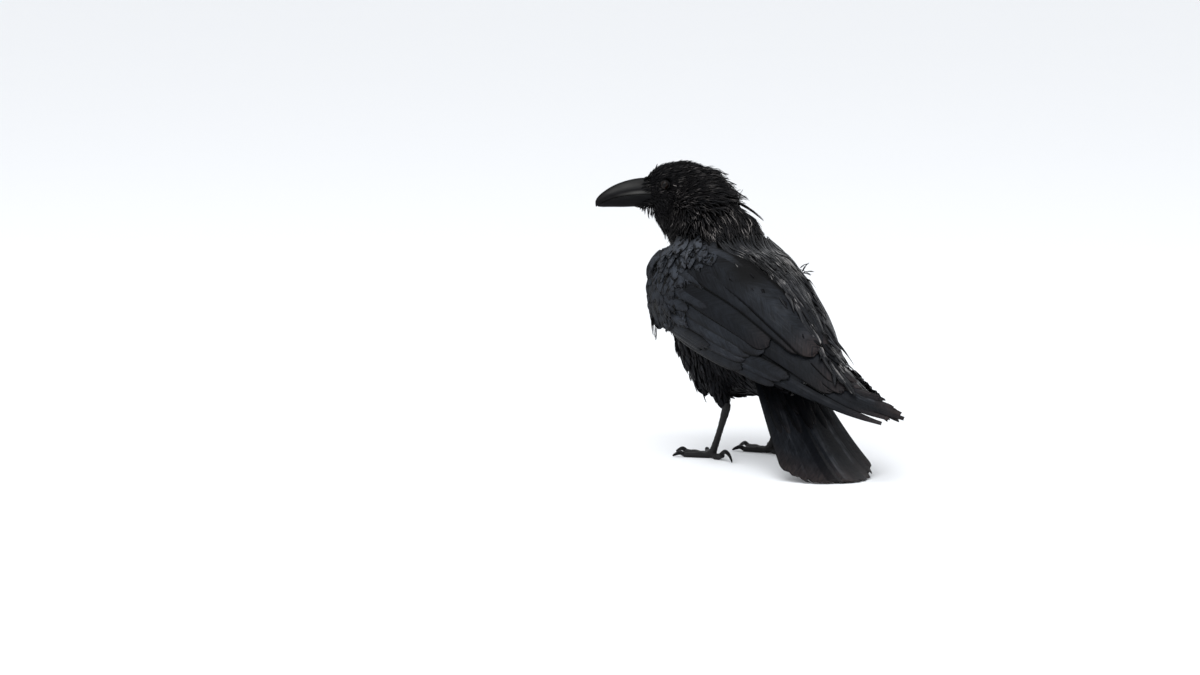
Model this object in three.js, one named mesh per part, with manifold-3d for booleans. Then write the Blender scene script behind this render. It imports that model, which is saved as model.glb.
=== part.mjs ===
// A common raven (Corvus corax) at life size, standing still on its two feet with the tail laid on the
// ground, the head turned over the left shoulder and the wings folded. Millimetres, +Z up. The bird's breast
// faces -Y, its left side is +X and its tail points to +Y.
//
// The flesh (head, neck and trunk) is one skin parted by thin cuts. The wings and the tail are built from
// feather-shaped plates laid on a curved surface, so that their edges step from feather tip to feather tip.
import * as THREE from 'three';
import { mergeVertices } from 'three/addons/utils/BufferGeometryUtils.js';
import Module from 'manifold-3d';

const wasm = await Module();
wasm.setup();

// ---------------------------------------------------------------- driving dimensions (mm, degrees)

const GAP = 0.35;                 // clearance between neighbouring pieces
const HEAD_CENTRE = [10, -86, 303];
const HEAD_TURN = 38;             // of the bill's heading from +X towards -Y
const CULMEN_REACH = 101;         // bill tip ahead of the head's centre
const BILL_ROOT = 31;             // where the bill's horn ends inside the face
const EYE_RADIUS = 6.2;
const EYE_PLACE = [21, 16.6, 5.5]; // ahead of, beside and above the head's centre

const TAIL_ROOT = [0, 62, 143];
const TAIL_TIP = [32, 240, 1.2];
const RECTRICES = 12;
const RECTRIX_WIDTH = 25;
const TAIL_ROOT_SPREAD = 13;      // half-width of the row of quills at the root
const TAIL_FAN = 9;               // half-angle of the fan
const TAIL_WEDGE = 0.2;           // how much shorter the outermost feather is

const WING_FEATHER_THICK = 2.4;
const WING_ROOM = 1.1;            // clearance of the body round the wing's curved sheet
const FOOT_PLACE = { left: [36, 0], right: [-40, 12] };
const ANKLE_RISE = 61;
const ANKLE_BACK = 27;
const TARSUS_RADIUS = 3.7;
const SHANK_END = 12;             // height at which the shank passes into the foot
const TOE_RADIUS = 3.9;
const SOLE_SINK = 0.8;            // depth of toe pad that is flattened by the ground
const SIDES = [['left', 1], ['right', -1]];
const LEAST_FLESH = 5000;         // cubic mm; a smaller chip left by a cut is dropped

// ---------------------------------------------------------------- tools

const vec = (p) => new THREE.Vector3(...p);
const smoothCurve = (points) => new THREE.CatmullRomCurve3(points, false, 'catmullrom', 0.5);
const lerp = THREE.MathUtils.lerp;
const radians = THREE.MathUtils.degToRad;

/** A closed three.js geometry as a manifold-3d solid that faces outwards. */
function solidOf(geometry) {
  const bare = geometry.clone();
  for (const name of Object.keys(bare.attributes)) {
    if (name !== 'position') bare.deleteAttribute(name);
  }
  const merged = mergeVertices(bare, 1e-4);
  const vertProperties = merged.getAttribute('position').array;
  const triVerts = new Uint32Array(merged.index.array);
  if (signedVolume(vertProperties, triVerts) < 0) {
    for (let i = 0; i < triVerts.length; i += 3) {
      [triVerts[i + 1], triVerts[i + 2]] = [triVerts[i + 2], triVerts[i + 1]];
    }
  }
  return new wasm.Manifold(new wasm.Mesh({ numProp: 3, vertProperties, triVerts }));
}

/** Six times the volume that the triangles enclose, negative where they face inwards. */
function signedVolume(places, triangles) {
  const [a, b, c] = [new THREE.Vector3(), new THREE.Vector3(), new THREE.Vector3()];
  let sum = 0;
  for (let i = 0; i < triangles.length; i += 3) {
    [a, b, c].forEach((corner, k) => corner.fromArray(places, 3 * triangles[i + k]));
    sum += a.dot(b.cross(c));
  }
  return sum;
}

/** A manifold-3d solid as a three.js geometry. */
function geometryOf(solid) {
  const { numProp, numVert, vertProperties, triVerts } = solid.getMesh();
  const places = new Float32Array(numVert * 3);
  for (let i = 0; i < numVert; i++) {
    places.set(vertProperties.subarray(i * numProp, i * numProp + 3), i * 3);
  }
  const geometry = new THREE.BufferGeometry();
  geometry.setAttribute('position', new THREE.BufferAttribute(places, 3));
  geometry.setIndex(new THREE.BufferAttribute(new Uint32Array(triVerts), 1));
  geometry.computeVertexNormals();
  return geometry;
}

const joined = (solids) => solids.reduce((whole, next) => whole.add(next));
const largest = (solid) => solid.decompose().reduce((a, b) => (a.volume() > b.volume() ? a : b));

/** What is left of a solid once the others are cut away, without loose slivers. */
const without = (solid, ...cutters) => largest(cutters.reduce((rest, cutter) => rest.subtract(cutter), solid));

/** How round the end of a form is: 0 at the very end and 1 from a share `reach` of its length inwards. */
const roundEnd = (t, reach) => (t >= reach ? 1 : Math.sqrt(Math.max(0, 1 - (1 - t / reach) ** 2)));

/**
 * A closed form round a centre line. Each station gives a place, the half-width to the side, and the radii
 * above and under the line. `side` is the direction of the width. `ends` are the shares of the length that
 * round off. `grow` swells the whole form.
 */
function spindle(stations, { along = 16, around = 16, side = [1, 0, 0], ends = [0.12, 0.12], grow = 0 }) {
  const centres = smoothCurve(stations.map((s) => vec(s.at)));
  const radii = smoothCurve(stations.map((s) => new THREE.Vector3(s.side, s.top, s.under)));
  const geometry = new THREE.SphereGeometry(1, around, along);
  const position = geometry.getAttribute('position');
  const across = vec(side).normalize();
  for (let i = 0; i < position.count; i++) {
    const ring = Math.floor(i / (around + 1));
    const angle = (2 * Math.PI * (i % (around + 1))) / around;
    const t = 0.5 - 0.5 * Math.cos((Math.PI * ring) / along);
    const centre = centres.getPoint(t);
    const tangent = centres.getTangent(t);
    const beside = across.clone().addScaledVector(tangent, -across.dot(tangent)).normalize();
    const above = beside.clone().cross(tangent).normalize();
    const r = radii.getPoint(t);
    const round = ring % along === 0 ? 0 : roundEnd(t, ends[0]) * roundEnd(1 - t, ends[1]);
    if (round === 0) centre.addScaledVector(tangent, (t < 0.5 ? -1 : 1) * grow);
    const growth = round > 0 ? grow : 0;
    centre.addScaledVector(beside, (r.x * round + growth) * Math.cos(angle));
    centre.addScaledVector(above, ((Math.sin(angle) > 0 ? r.y : r.z) * round + growth) * Math.sin(angle));
    position.setXYZ(i, centre.x, centre.y, centre.z);
  }
  return solidOf(geometry);
}

/** A round tapering rod through the points, such as a shank, a toe or a claw. */
function rod(points, radii, { along = 10, around = 8, grow = 0, ends = [0.08, 0.08] } = {}) {
  const stations = points.map((at, i) => ({ at, side: radii[i], top: radii[i], under: radii[i] }));
  const run = vec(points[points.length - 1]).sub(vec(points[0]));
  const side = Math.abs(run.x) > Math.abs(run.y) ? [0, 1, 0] : [1, 0, 0];
  return spindle(stations, { along, around, side, ends, grow });
}

/**
 * A plate bent over a surface. `place(u, v)` gives the middle point, the normal and the thickness for u from 0
 * to 1 along the plate and v from -1 to 1 across it.
 */
function plate(place, { along = 8, across = 2 }) {
  const geometry = new THREE.BoxGeometry(1, 1, 1, along, across, 1);
  const position = geometry.getAttribute('position');
  for (let i = 0; i < position.count; i++) {
    const { point, normal, thick } = place(position.getX(i) + 0.5, 2 * position.getY(i));
    point.addScaledVector(normal, thick * position.getZ(i));
    position.setXYZ(i, point.x, point.y, point.z);
  }
  return solidOf(geometry);
}

/** The share of a feather's full width at a share u of its length: narrow root, parallel edges, round tip. */
function vaneWidth(u, tip = 0.16) {
  const root = lerp(0.6, 1, Math.min(1, u / 0.3));
  return root * Math.max(0.22, roundEnd(1 - u, tip));
}

/** A slab across the model at a point, to part one piece from the next. */
function slab(at, normal, thick = GAP, size = 600) {
  const geometry = new THREE.BoxGeometry(size, size, thick);
  const facing = vec(normal).normalize();
  const turn = new THREE.Quaternion().setFromUnitVectors(new THREE.Vector3(0, 0, 1), facing);
  geometry.applyQuaternion(turn).translate(...at);
  return solidOf(geometry);
}

/** Everything under the ground, for flattening soles. */
const GROUND = solidOf(new THREE.BoxGeometry(1200, 1200, 200).translate(0, 0, -100));

// ---------------------------------------------------------------- head: a frame of its own

const headForward = new THREE.Vector3(Math.cos(radians(HEAD_TURN)), -Math.sin(radians(HEAD_TURN)), 0);
const headUp = new THREE.Vector3(0, 0, 1);
const headLeft = headUp.clone().cross(headForward);

/** A point of the head from how far it is ahead of, to the left of and above the head's centre. */
function onHead(ahead, left, above) {
  const point = vec(HEAD_CENTRE);
  point.addScaledVector(headForward, ahead).addScaledVector(headLeft, left).addScaledVector(headUp, above);
  return point.toArray();
}

/** The skull with its feathers, from the bill's root back to the nape. */
function headForm() {
  const stations = [
    { at: onHead(44, 0, -6), side: 8, top: 12, under: 14 },
    { at: onHead(34, 0, -4), side: 15, top: 22.5, under: 26 },
    { at: onHead(20, 0, -2), side: 21, top: 31, under: 39 },
    { at: onHead(0, 0, -2), side: 25.5, top: 32, under: 42 },
    { at: onHead(-22, 0, -8), side: 28, top: 32, under: 38 },
    { at: onHead(-40, 0, -21), side: 27, top: 29.5, under: 32 },
    { at: onHead(-54, 0, -38), side: 22, top: 25, under: 22 },
  ];
  return spindle(stations, { along: 11, around: 14, side: headLeft.toArray(), ends: [0.1, 0.3] });
}

/** Both halves of the bill follow the mouth's line; `top` and `under` are the horn above and below it. */
const MOUTH_LINE = [
  { ahead: BILL_ROOT, above: -6, side: 10.2, top: 17, under: 13.5 },
  { ahead: 46, above: -6.6, side: 9.6, top: 18, under: 14.5 },
  { ahead: 60, above: -7.6, side: 8.6, top: 16.8, under: 14.2 },
  { ahead: 74, above: -9.8, side: 7.2, top: 14.2, under: 12.6 },
  { ahead: 86, above: -13.4, side: 5.4, top: 11, under: 9.2 },
  { ahead: 95, above: -17.6, side: 3.3, top: 7.6, under: 5.2 },
  { ahead: CULMEN_REACH, above: -22.6, side: 1.2, top: 2.6, under: 1 },
];

/** One half of the bill: sign +1 the upper, -1 the lower. */
function billHalf(sign, grow = 0) {
  const edge = 0.5;
  const lift = sign * (edge + GAP / 2);
  const line = sign > 0 ? MOUTH_LINE : MOUTH_LINE.slice(0, -1);
  const stations = line.map(({ ahead, above, side, top, under }) => ({
    at: onHead(ahead, 0, above + lift),
    side: sign > 0 ? side : side * 0.9,
    top: sign > 0 ? top : edge,
    under: sign > 0 ? edge : under,
  }));
  const side = headLeft.clone().negate().toArray();
  return spindle(stations, { along: 11, around: 12, side, ends: [0.06, 0.1], grow });
}

/** An eyeball: side +1 the bird's left, -1 its right. */
function eyeBall(side, grow = 0) {
  const [ahead, beside, above] = EYE_PLACE;
  const ball = new THREE.SphereGeometry(EYE_RADIUS + grow, 10, 8);
  return solidOf(ball.translate(...onHead(ahead, side * beside, above)));
}

// ---------------------------------------------------------------- neck, trunk and thighs

/** The neck with its loose hackles, from inside the head down into the shoulders. */
function neckForm() {
  const stations = [
    { at: onHead(-4, 0, 4), side: 20, top: 22, under: 22 },
    { at: [4, -71, 289], side: 35, top: 36, under: 38 },
    { at: [0, -55, 271], side: 46, top: 45, under: 46 },
    { at: [-1, -36, 247], side: 55, top: 52, under: 56 },
    { at: [0, -14, 218], side: 60, top: 46, under: 66 },
    { at: [0, -6, 190], side: 46, top: 44, under: 50 },
  ];
  return spindle(stations, { along: 9, around: 16, ends: [0.15, 0.3] });
}

/** Chin and throat, bridging the corner between the face and the neck. */
function throatForm() {
  const stations = [
    { at: onHead(31, 0, -16), side: 9, top: 9, under: 9 },
    { at: onHead(22, 0, -28), side: 17, top: 15, under: 14 },
    { at: onHead(8, 0, -46), side: 27, top: 26, under: 18 },
    { at: onHead(-8, 0, -70), side: 36, top: 36, under: 22 },
    { at: onHead(-26, 0, -100), side: 28, top: 28, under: 14 },
  ];
  return spindle(stations, { along: 7, around: 8, side: headLeft.toArray(), ends: [0.25, 0.35] });
}

/** Breast, body, belly and the coverts over the tail's root. */
function trunkForm(grow = 0) {
  const stations = [
    { at: [0, -90, 226], side: 36, top: 28, under: 28 },
    { at: [0, -70, 213], side: 60, top: 46, under: 48 },
    { at: [0, -42, 193], side: 74, top: 58, under: 66 },
    { at: [0, -10, 170], side: 75, top: 65, under: 80 },
    { at: [0, 26, 148], side: 66, top: 61, under: 84 },
    { at: [2, 58, 130], side: 50, top: 47, under: 70 },
    { at: [6, 86, 110], side: 34, top: 29, under: 46 },
    { at: [11, 116, 86], side: 22, top: 14, under: 22 },
  ];
  return spindle(stations, { along: 13, around: 14, ends: [0.2, 0.1], grow });
}

/** The mantle and the back between the wings, narrowing to the place where the wings meet. */
function mantleForm(grow = 0) {
  const stations = [
    { at: [0, -24, 222], side: 58, top: 38, under: 40 },
    { at: [0, 22, 210], side: 54, top: 36, under: 44 },
    { at: [0, 70, 187], side: 36, top: 33, under: 44 },
    { at: [0, 118, 155], side: 22, top: 29, under: 36 },
    { at: [0, 150, 132], side: 12, top: 18, under: 24 },
    { at: [0, 170, 116], side: 5, top: 9, under: 12 },
  ];
  return spindle(stations, { along: 9, around: 10, ends: [0.3, 0.2], grow });
}

/** The long feathers of the flank that hang in front of the shin. side +1 is the bird's left. */
function flankForm(side, [x, y], grow = 0) {
  const stations = [
    { at: [x + side * 14, y - 27, 156], side: 18, top: 26, under: 26 },
    { at: [x + side * 11, y - 21, 124], side: 18, top: 25, under: 24 },
    { at: [x + side * 6, y - 15, 97], side: 13, top: 17, under: 16 },
    { at: [x + side * 3, y - 8, 71], side: 5, top: 7, under: 7 },
  ];
  return spindle(stations, { along: 6, around: 7, ends: [0.3, 0.2], grow });
}

// Feather points that stand out of the outline: crown, nape and throat in the head's frame, flanks in the
// bird's.
const HEAD_TUFTS = [
  { root: [34, 0, 17], tip: [28.8, 0, 27] },
  { root: [27, 0, 21], tip: [21.3, 2, 29.5] },
  { root: [19, 0, 23], tip: [12.4, -2, 32] },
  { root: [10, 0, 24], tip: [1.3, 1, 34] },
  { root: [-30, 4, 13], tip: [-49, 5, 14.5] },
  { root: [-39, 5, 4], tip: [-57, 6, 5] },
  { root: [-49, 10, 4], tip: [-75, 15, -11] },
  { root: [-66, 18, -22], tip: [-93, 20, -38] },
  { root: [-72, 22, -36], tip: [-96, 22, -54] },
  { root: [27, 0, -18], tip: [31, 0, -33] },
];
const FLANK_TUFTS = [
  { root: [44, -22, 102], tip: [42, -18.5, 76] },
  { root: [42, -12, 92], tip: [41, -5, 66] },
];

/** A feather point from its root to its tip. */
function tuftForm({ root, tip }) {
  const run = vec(tip).sub(vec(root));
  const cone = new THREE.ConeGeometry(2.4, run.length(), 4).translate(0, run.length() / 2, 0);
  const facing = run.clone().normalize();
  const turn = new THREE.Quaternion().setFromUnitVectors(new THREE.Vector3(0, 1, 0), facing);
  return solidOf(cone.applyQuaternion(turn).translate(...root));
}

/** Thigh and shin in their feathers, down to the ankle. side +1 is the bird's left. */
function thighForm(side, foot, grow = 0) {
  const [x, y] = foot;
  const stations = [
    { at: [x + side * 5, y - 14, 138], side: 23, top: 30, under: 32 },
    { at: [x + side * 5, y + 2, 108], side: 19, top: 26, under: 26 },
    { at: [x + side * 3, y + 15, 84], side: 11, top: 15, under: 14 },
    { at: [x + side * 1.5, y + ANKLE_BACK - 2, 66], side: 6, top: 7.5, under: 7 },
    { at: [x + side, y + ANKLE_BACK, 55], side: 4, top: 4.5, under: 4.5 },
  ];
  return spindle(stations, { along: 8, around: 9, ends: [0.25, 0.06], grow });
}

// ---------------------------------------------------------------- legs and feet

/** The bare shank from inside the ankle down into the foot. */
function shankForm(side, [x, y], grow = 0) {
  const points = [
    [x + side * 1.5, y + ANKLE_BACK, ANKLE_RISE + 7],
    [x + side * 1.2, y + ANKLE_BACK, ANKLE_RISE],
    [x + side * 0.6, y + ANKLE_BACK * 0.6, ANKLE_RISE * 0.6],
    [x, y + 5, 14],
    [x, y, 5.5],
  ];
  const radii = [4.2, 5, TARSUS_RADIUS, TARSUS_RADIUS + 0.4, 5.2];
  return rod(points, radii, { along: 10, around: 10, grow });
}

// Each toe: its heading in degrees from straight ahead towards the bird's outer side, its length, its claw,
// and how far its end is raised off the ground.
const TOES = [
  { name: 'middle', turn: 4, length: 45, claw: 19, heave: 0 },
  { name: 'inner', turn: -30, length: 33, claw: 16, heave: 0 },
  { name: 'outer', turn: 38, length: 34, claw: 15, heave: 0 },
  { name: 'hind', turn: 172, length: 24, claw: 25, heave: 5 },
];

/** The run of a toe and its claw: a function from distance along the toe, and height, to a point. */
function toeLine(side, [x, y], { turn }) {
  const angle = radians(turn);
  return (reach, height) => [x + side * Math.sin(angle) * reach, y - Math.cos(angle) * reach, height];
}

/** A toe with its pads and joints, lying on the ground. */
function toeForm(side, foot, toe, grow = 0) {
  const at = toeLine(side, foot, toe);
  const joints = [
    { share: 0, radius: TOE_RADIUS + 1, lift: 2.2 },
    { share: 0.22, radius: TOE_RADIUS * 0.95, lift: 0.9 },
    { share: 0.45, radius: TOE_RADIUS, lift: 0 },
    { share: 0.72, radius: TOE_RADIUS * 0.88, lift: 0.7 + toe.heave * 0.3 },
    { share: 1, radius: TOE_RADIUS * 0.84, lift: toe.heave },
  ];
  const points = joints.map(({ share, radius, lift }) => at(toe.length * share, soleHeight(radius) + lift));
  return rod(points, joints.map(({ radius }) => radius), { along: 6, around: 6, ends: [0.06, 0.06], grow });
}

/** The height of a six-sided toe's middle when its pad is pressed flat on the ground. */
const soleHeight = (radius) => radius * Math.sin(Math.PI / 3) - SOLE_SINK;

/** A claw that leaves the toe's end, arches over and comes down to the ground. */
function clawForm(side, foot, toe) {
  const at = toeLine(side, foot, toe);
  const rest = soleHeight(TOE_RADIUS * 0.84) + toe.heave + 0.3;
  const { length, claw } = toe;
  const points = [
    at(length - 3, rest),
    at(length + claw * 0.22, rest + claw * 0.16),
    at(length + claw * 0.55, rest + claw * 0.06),
    at(length + claw * 0.76, rest * 0.42 + 0.6),
    at(length + claw * 0.82, 0.5),
  ];
  return rod(points, [2.6, 2.5, 1.9, 1.2, 0.45], { along: 6, around: 5, ends: [0.04, 0.06] });
}

// ---------------------------------------------------------------- wings

// The folded wing is a sheet between its lower and its upper edge, from the bend to the tip. Left wing.
const WING_EDGES = [
  { lower: [78, -56, 148], upper: [66, -60, 237], bulge: 11, thick: 15 },
  { lower: [79, -18, 143], upper: [54, -8, 245], bulge: 16, thick: 12 },
  { lower: [72, 56, 122], upper: [35, 62, 223], bulge: 14, thick: 8 },
  { lower: [60, 120, 105], upper: [18, 122, 177], bulge: 9, thick: 6 },
  { lower: [47, 170, 94], upper: [9, 164, 139], bulge: 5, thick: 5 },
  { lower: [30, 226, 81], upper: [7, 216, 105], bulge: 3, thick: 4 },
  { lower: [15, 278, 71], upper: [6, 269, 91], bulge: 1.5, thick: 3.5 },
  { lower: [5, 312, 72], upper: [5, 312, 80], bulge: 0.5, thick: 3 },
];
const wingLower = smoothCurve(WING_EDGES.map((e) => vec(e.lower)));
const wingUpper = smoothCurve(WING_EDGES.map((e) => vec(e.upper)));
const wingBody = smoothCurve(WING_EDGES.map((e) => new THREE.Vector3(e.bulge, e.thick, 0)));
const BEND_ROUND = 6;              // how far the bend of the wing swells ahead of its edges

/** A point of the left wing's outer surface: a from bend to tip, b from the lower to the upper edge. */
function wingSheet(a, b) {
  const crown = Math.max(0, 4 * b * (1 - b));
  const lower = wingLower.getPoint(a);
  const upper = wingUpper.getPoint(a);
  const along = wingLower.getTangent(a).add(wingUpper.getTangent(a)).normalize();
  const outward = along.clone().cross(upper.clone().sub(lower)).normalize();
  if (outward.x < 0) outward.negate();
  const point = lower.clone().lerp(upper, b).addScaledVector(outward, wingBody.getPoint(a).x * crown);
  point.y -= BEND_ROUND * crown * Math.max(0, 1 - a / 0.12) ** 2;
  return point;
}

/** The outward direction of that surface. */
function wingOutward(a, b) {
  const step = 0.01;
  const along = wingSheet(Math.min(1, a + step), b).sub(wingSheet(Math.max(0, a - step), b));
  const up = wingSheet(a, Math.min(1, b + 0.1)).sub(wingSheet(a, Math.max(0, b - 0.1)));
  const outward = along.cross(up).normalize();
  return outward.x < 0 ? outward.negate() : outward;
}

/** How far back the coverts reach at a height b of the wing. */
const armReach = (b) => 0.52 + 0.1 * b - 0.05 * Math.cos(3 * Math.PI * b);

/** Arm, shoulder and coverts of the wing, which end in a slant over the long feathers. */
function wingArm(side) {
  return plate((u, v) => {
    const b = 0.5 + 0.5 * v;
    const a = u * armReach(b);
    const edge = Math.sqrt(Math.max(0.1, 1 - v ** 4)) * Math.sqrt(Math.min(1, 0.35 + 6 * u));
    const thick = wingBody.getPoint(a).y * edge * lerp(1, 0.45, u * u);
    const normal = wingOutward(a, b);
    return mirrored(side, { point: wingSheet(a, b).addScaledVector(normal, -0.5 * thick), normal, thick });
  }, { along: 8, across: 5 });
}

/** The space that a whole folded wing takes up, with clearance, to seat the body against. */
function wingRoom(side) {
  return plate((u, v) => {
    const b = 0.5 + 0.56 * v;
    const thick = Math.max(7, wingBody.getPoint(u).y) + 2 * WING_ROOM;
    const normal = wingOutward(u, b);
    const point = wingSheet(u, b).addScaledVector(normal, WING_ROOM - 0.5 * thick);
    point.y -= u < 0.01 ? WING_ROOM : 0;
    return mirrored(side, { point, normal, thick });
  }, { along: 8, across: 4 });
}

/** One long wing feather as a plate, from (a, b) at its root to (a, b) at its tip, `depth` under the sheet. */
function wingFeather(side, { root, tip, width, depth }, grow = 0) {
  const spot = (u) => [lerp(root[0], tip[0], u), lerp(root[1], tip[1], u)];
  const point = (u) => {
    const [a, b] = spot(u);
    return wingSheet(a, b).addScaledVector(wingOutward(a, b), -depth);
  };
  return plate((u, v) => {
    const [a, b] = spot(u);
    const normal = wingOutward(a, b);
    const along = point(Math.min(1, u + 0.03)).sub(point(Math.max(0, u - 0.03))).normalize();
    const across = normal.clone().cross(along).normalize();
    const place = point(u).addScaledVector(across, v * (0.5 * width * vaneWidth(u) + grow));
    place.addScaledVector(along, u > 0.99 ? grow : 0);
    return mirrored(side, { point: place, normal, thick: WING_FEATHER_THICK + 2 * grow });
  }, { along: 3, across: 1 });
}

/** The same place on the other wing when side is -1. */
function mirrored(side, { point, normal, thick }) {
  point.x *= side;
  normal.x *= side;
  return { point, normal, thick };
}

/** The feathers whose tips make the wing's outline: secondaries above, then the primaries. */
const SECONDARIES = [
  { root: [0.42, 0.86], tip: [0.67, 0.92], width: 28, depth: 2.0 },
  { root: [0.42, 0.6], tip: [0.7, 0.62], width: 28, depth: 2.6 },
];
const PRIMARIES = [
  { root: [0.44, 0.76], tip: [0.75, 0.96], width: 19, depth: 3.2 },
  { root: [0.44, 0.63], tip: [0.83, 0.92], width: 18, depth: 3.4 },
  { root: [0.44, 0.5], tip: [0.92, 0.9], width: 17, depth: 3.6 },
  { root: [0.44, 0.36], tip: [0.995, 0.5], width: 15, depth: 3.8 },
  { root: [0.44, 0.23], tip: [0.93, 0.28], width: 14, depth: 4.0 },
  { root: [0.44, 0.1], tip: [0.885, 0.06], width: 13, depth: 4.2 },
];

/** A whole folded wing. */
function wingForm(side) {
  const feathers = [...SECONDARIES, ...PRIMARIES].map((feather) => wingFeather(side, feather));
  const inward = new THREE.BoxGeometry(200, 600, 400).translate(side * (GAP / 2 - 100), 100, 150);
  return without(joined([wingArm(side), ...feathers]), solidOf(inward));
}

/** The space round both wings that the body leaves free. */
function roomForBothWings() {
  return joined(SIDES.flatMap(([, side]) => [
    wingRoom(side),
    ...SECONDARIES.map((feather) => wingFeather(side, feather, WING_ROOM)),
  ]));
}

// ---------------------------------------------------------------- tail

const tailLine = new THREE.CubicBezierCurve3(
  vec(TAIL_ROOT),
  new THREE.Vector3(4, 116, 80),
  new THREE.Vector3(15, 182, 10),
  vec(TAIL_TIP),
);
const TAIL_SIDE = new THREE.Vector3(1, -0.17, 0).normalize();

/** One tail feather: rank runs from -1, the outermost right, to 1, the outermost left. */
function tailFeather(rank) {
  const length = 1 - TAIL_WEDGE * rank * rank;
  const reach = tailLine.getLength();
  return plate((u, v) => {
    const t = u * length;
    const along = tailLine.getTangent(t);
    const beside = TAIL_SIDE.clone().addScaledVector(along, -TAIL_SIDE.dot(along)).normalize();
    const normal = beside.clone().cross(along).normalize();
    const spread = rank * TAIL_ROOT_SPREAD + Math.sin(radians(TAIL_FAN) * rank) * t * reach;
    const place = tailLine.getPoint(t);
    place.addScaledVector(beside, spread + v * 0.5 * RECTRIX_WIDTH * vaneWidth(u, 0.12));
    place.addScaledVector(normal, -1.5 - (2.2 + 3.5 * u) * Math.abs(rank) - 0.8 * v * Math.sign(rank));
    return { point: place, normal, thick: 2.2 };
  }, { along: 4, across: 1 });
}

// ---------------------------------------------------------------- assembly

const part = new THREE.Group();

/** Adds a solid to the model as a named mesh. */
function addPiece(name, solid, color, roughness) {
  const material = new THREE.MeshStandardMaterial({ color, roughness, metalness: 0 });
  const mesh = new THREE.Mesh(geometryOf(solid), material);
  mesh.name = name;
  part.add(mesh);
}

const PLUMAGE = 0x14161a;
const HORN = 0x1b1c1d;
const LEG_SKIN = 0x17181a;
const EYE = 0x120c09;

const wings = Object.fromEntries(SIDES.map(([name, side]) => [name, wingForm(side)]));
const roomForWings = roomForBothWings();
const roomForEyes = joined(SIDES.map(([, side]) => eyeBall(side, GAP)));
const roomForBill = joined([billHalf(1, GAP), billHalf(-1, GAP)]);

const headTufts = HEAD_TUFTS.map(({ root, tip }) => tuftForm({ root: onHead(...root), tip: onHead(...tip) }));
const flesh = joined([
  headForm(),
  throatForm(),
  neckForm(),
  trunkForm(),
  mantleForm(),
  ...SIDES.map(([name, side]) => flankForm(side, FOOT_PLACE[name])),
  ...headTufts,
  ...FLANK_TUFTS.map(tuftForm),
]);
const headCut = slab([0, -64, 270], [0, 0.4, -1]);
const neckCut = slab([0, -26, 237], [0, 0.42, -1]);
const byHeight = flesh.subtract(roomForWings).subtract(headCut).subtract(neckCut).decompose()
  .filter((piece) => piece.volume() > LEAST_FLESH);
byHeight.sort((a, b) => b.boundingBox().max[2] - a.boundingBox().max[2]);
const [headWhole, neckWhole, trunkWhole] = byHeight;

addPiece('head', without(headWhole, roomForEyes, roomForBill), PLUMAGE, 0.55);
addPiece('neck', neckWhole, PLUMAGE, 0.6);
addPiece('trunk', trunkWhole, PLUMAGE, 0.6);
addPiece('bill_upper', billHalf(1), HORN, 0.4);
addPiece('bill_lower', billHalf(-1), HORN, 0.4);

const roomForFlesh = joined([
  trunkForm(GAP),
  mantleForm(GAP),
  ...SIDES.map(([name, side]) => flankForm(side, FOOT_PLACE[name], GAP)),
]);
const tailFan = Array.from({ length: RECTRICES }, (_, i) => tailFeather((2 * i) / (RECTRICES - 1) - 1));
addPiece('tail', without(joined(tailFan), roomForFlesh, roomForWings, GROUND), PLUMAGE, 0.5);

for (const [name, side] of SIDES) {
  const foot = FOOT_PLACE[name];
  const toes = joined(TOES.map((toe) => toeForm(side, foot, toe))).subtract(GROUND);
  const shankCut = slab([foot[0], foot[1] + 4, SHANK_END], [0, -0.35, 1], GAP, 24);
  const [upperLeg, lowerLeg] = splitAt(shankForm(side, foot).add(toes), shankCut);
  const thigh = without(thighForm(side, foot), roomForFlesh, roomForWings, shankForm(side, foot, GAP));
  addPiece(`eye_${name}`, eyeBall(side), EYE, 0.1);
  addPiece(`wing_${name}`, wings[name], PLUMAGE, 0.5);
  addPiece(`thigh_${name}`, thigh, PLUMAGE, 0.6);
  addPiece(`shank_${name}`, upperLeg, LEG_SKIN, 0.5);
  addPiece(`foot_${name}`, lowerLeg, LEG_SKIN, 0.5);
  for (const toe of TOES) {
    const claw = without(clawForm(side, foot, toe), toeForm(side, foot, toe, GAP), GROUND);
    addPiece(`claw_${toe.name}_${name}`, claw, HORN, 0.35);
  }
}

/** The two largest pieces on either side of a thin cut, the higher one first. */
function splitAt(solid, cut) {
  const halves = solid.subtract(cut).decompose().sort((a, b) => b.volume() - a.volume());
  return halves.slice(0, 2).sort((a, b) => b.boundingBox().max[2] - a.boundingBox().max[2]);
}

// The origin goes to the middle of the model's underside.
const bounds = new THREE.Box3().setFromObject(part);
const middle = bounds.getCenter(new THREE.Vector3());
part.position.set(-middle.x, -middle.y, -bounds.min.z);

export default part;
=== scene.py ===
"""A common raven at life size: skin, coat of solid feathers, horn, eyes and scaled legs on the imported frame.

Sizes are millimetres in the bird's own frame, as in the part's source: the breast faces -Y, the bird's left
is +X, +Z is up and the ground is at 0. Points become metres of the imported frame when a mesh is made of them.
"""
from __future__ import annotations

import logging
import math
from collections.abc import Callable, Sequence
from dataclasses import dataclass, field
from enum import Enum

import bmesh
import bpy
import numpy as np
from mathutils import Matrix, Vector
from mathutils.bvhtree import BVHTree


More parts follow.
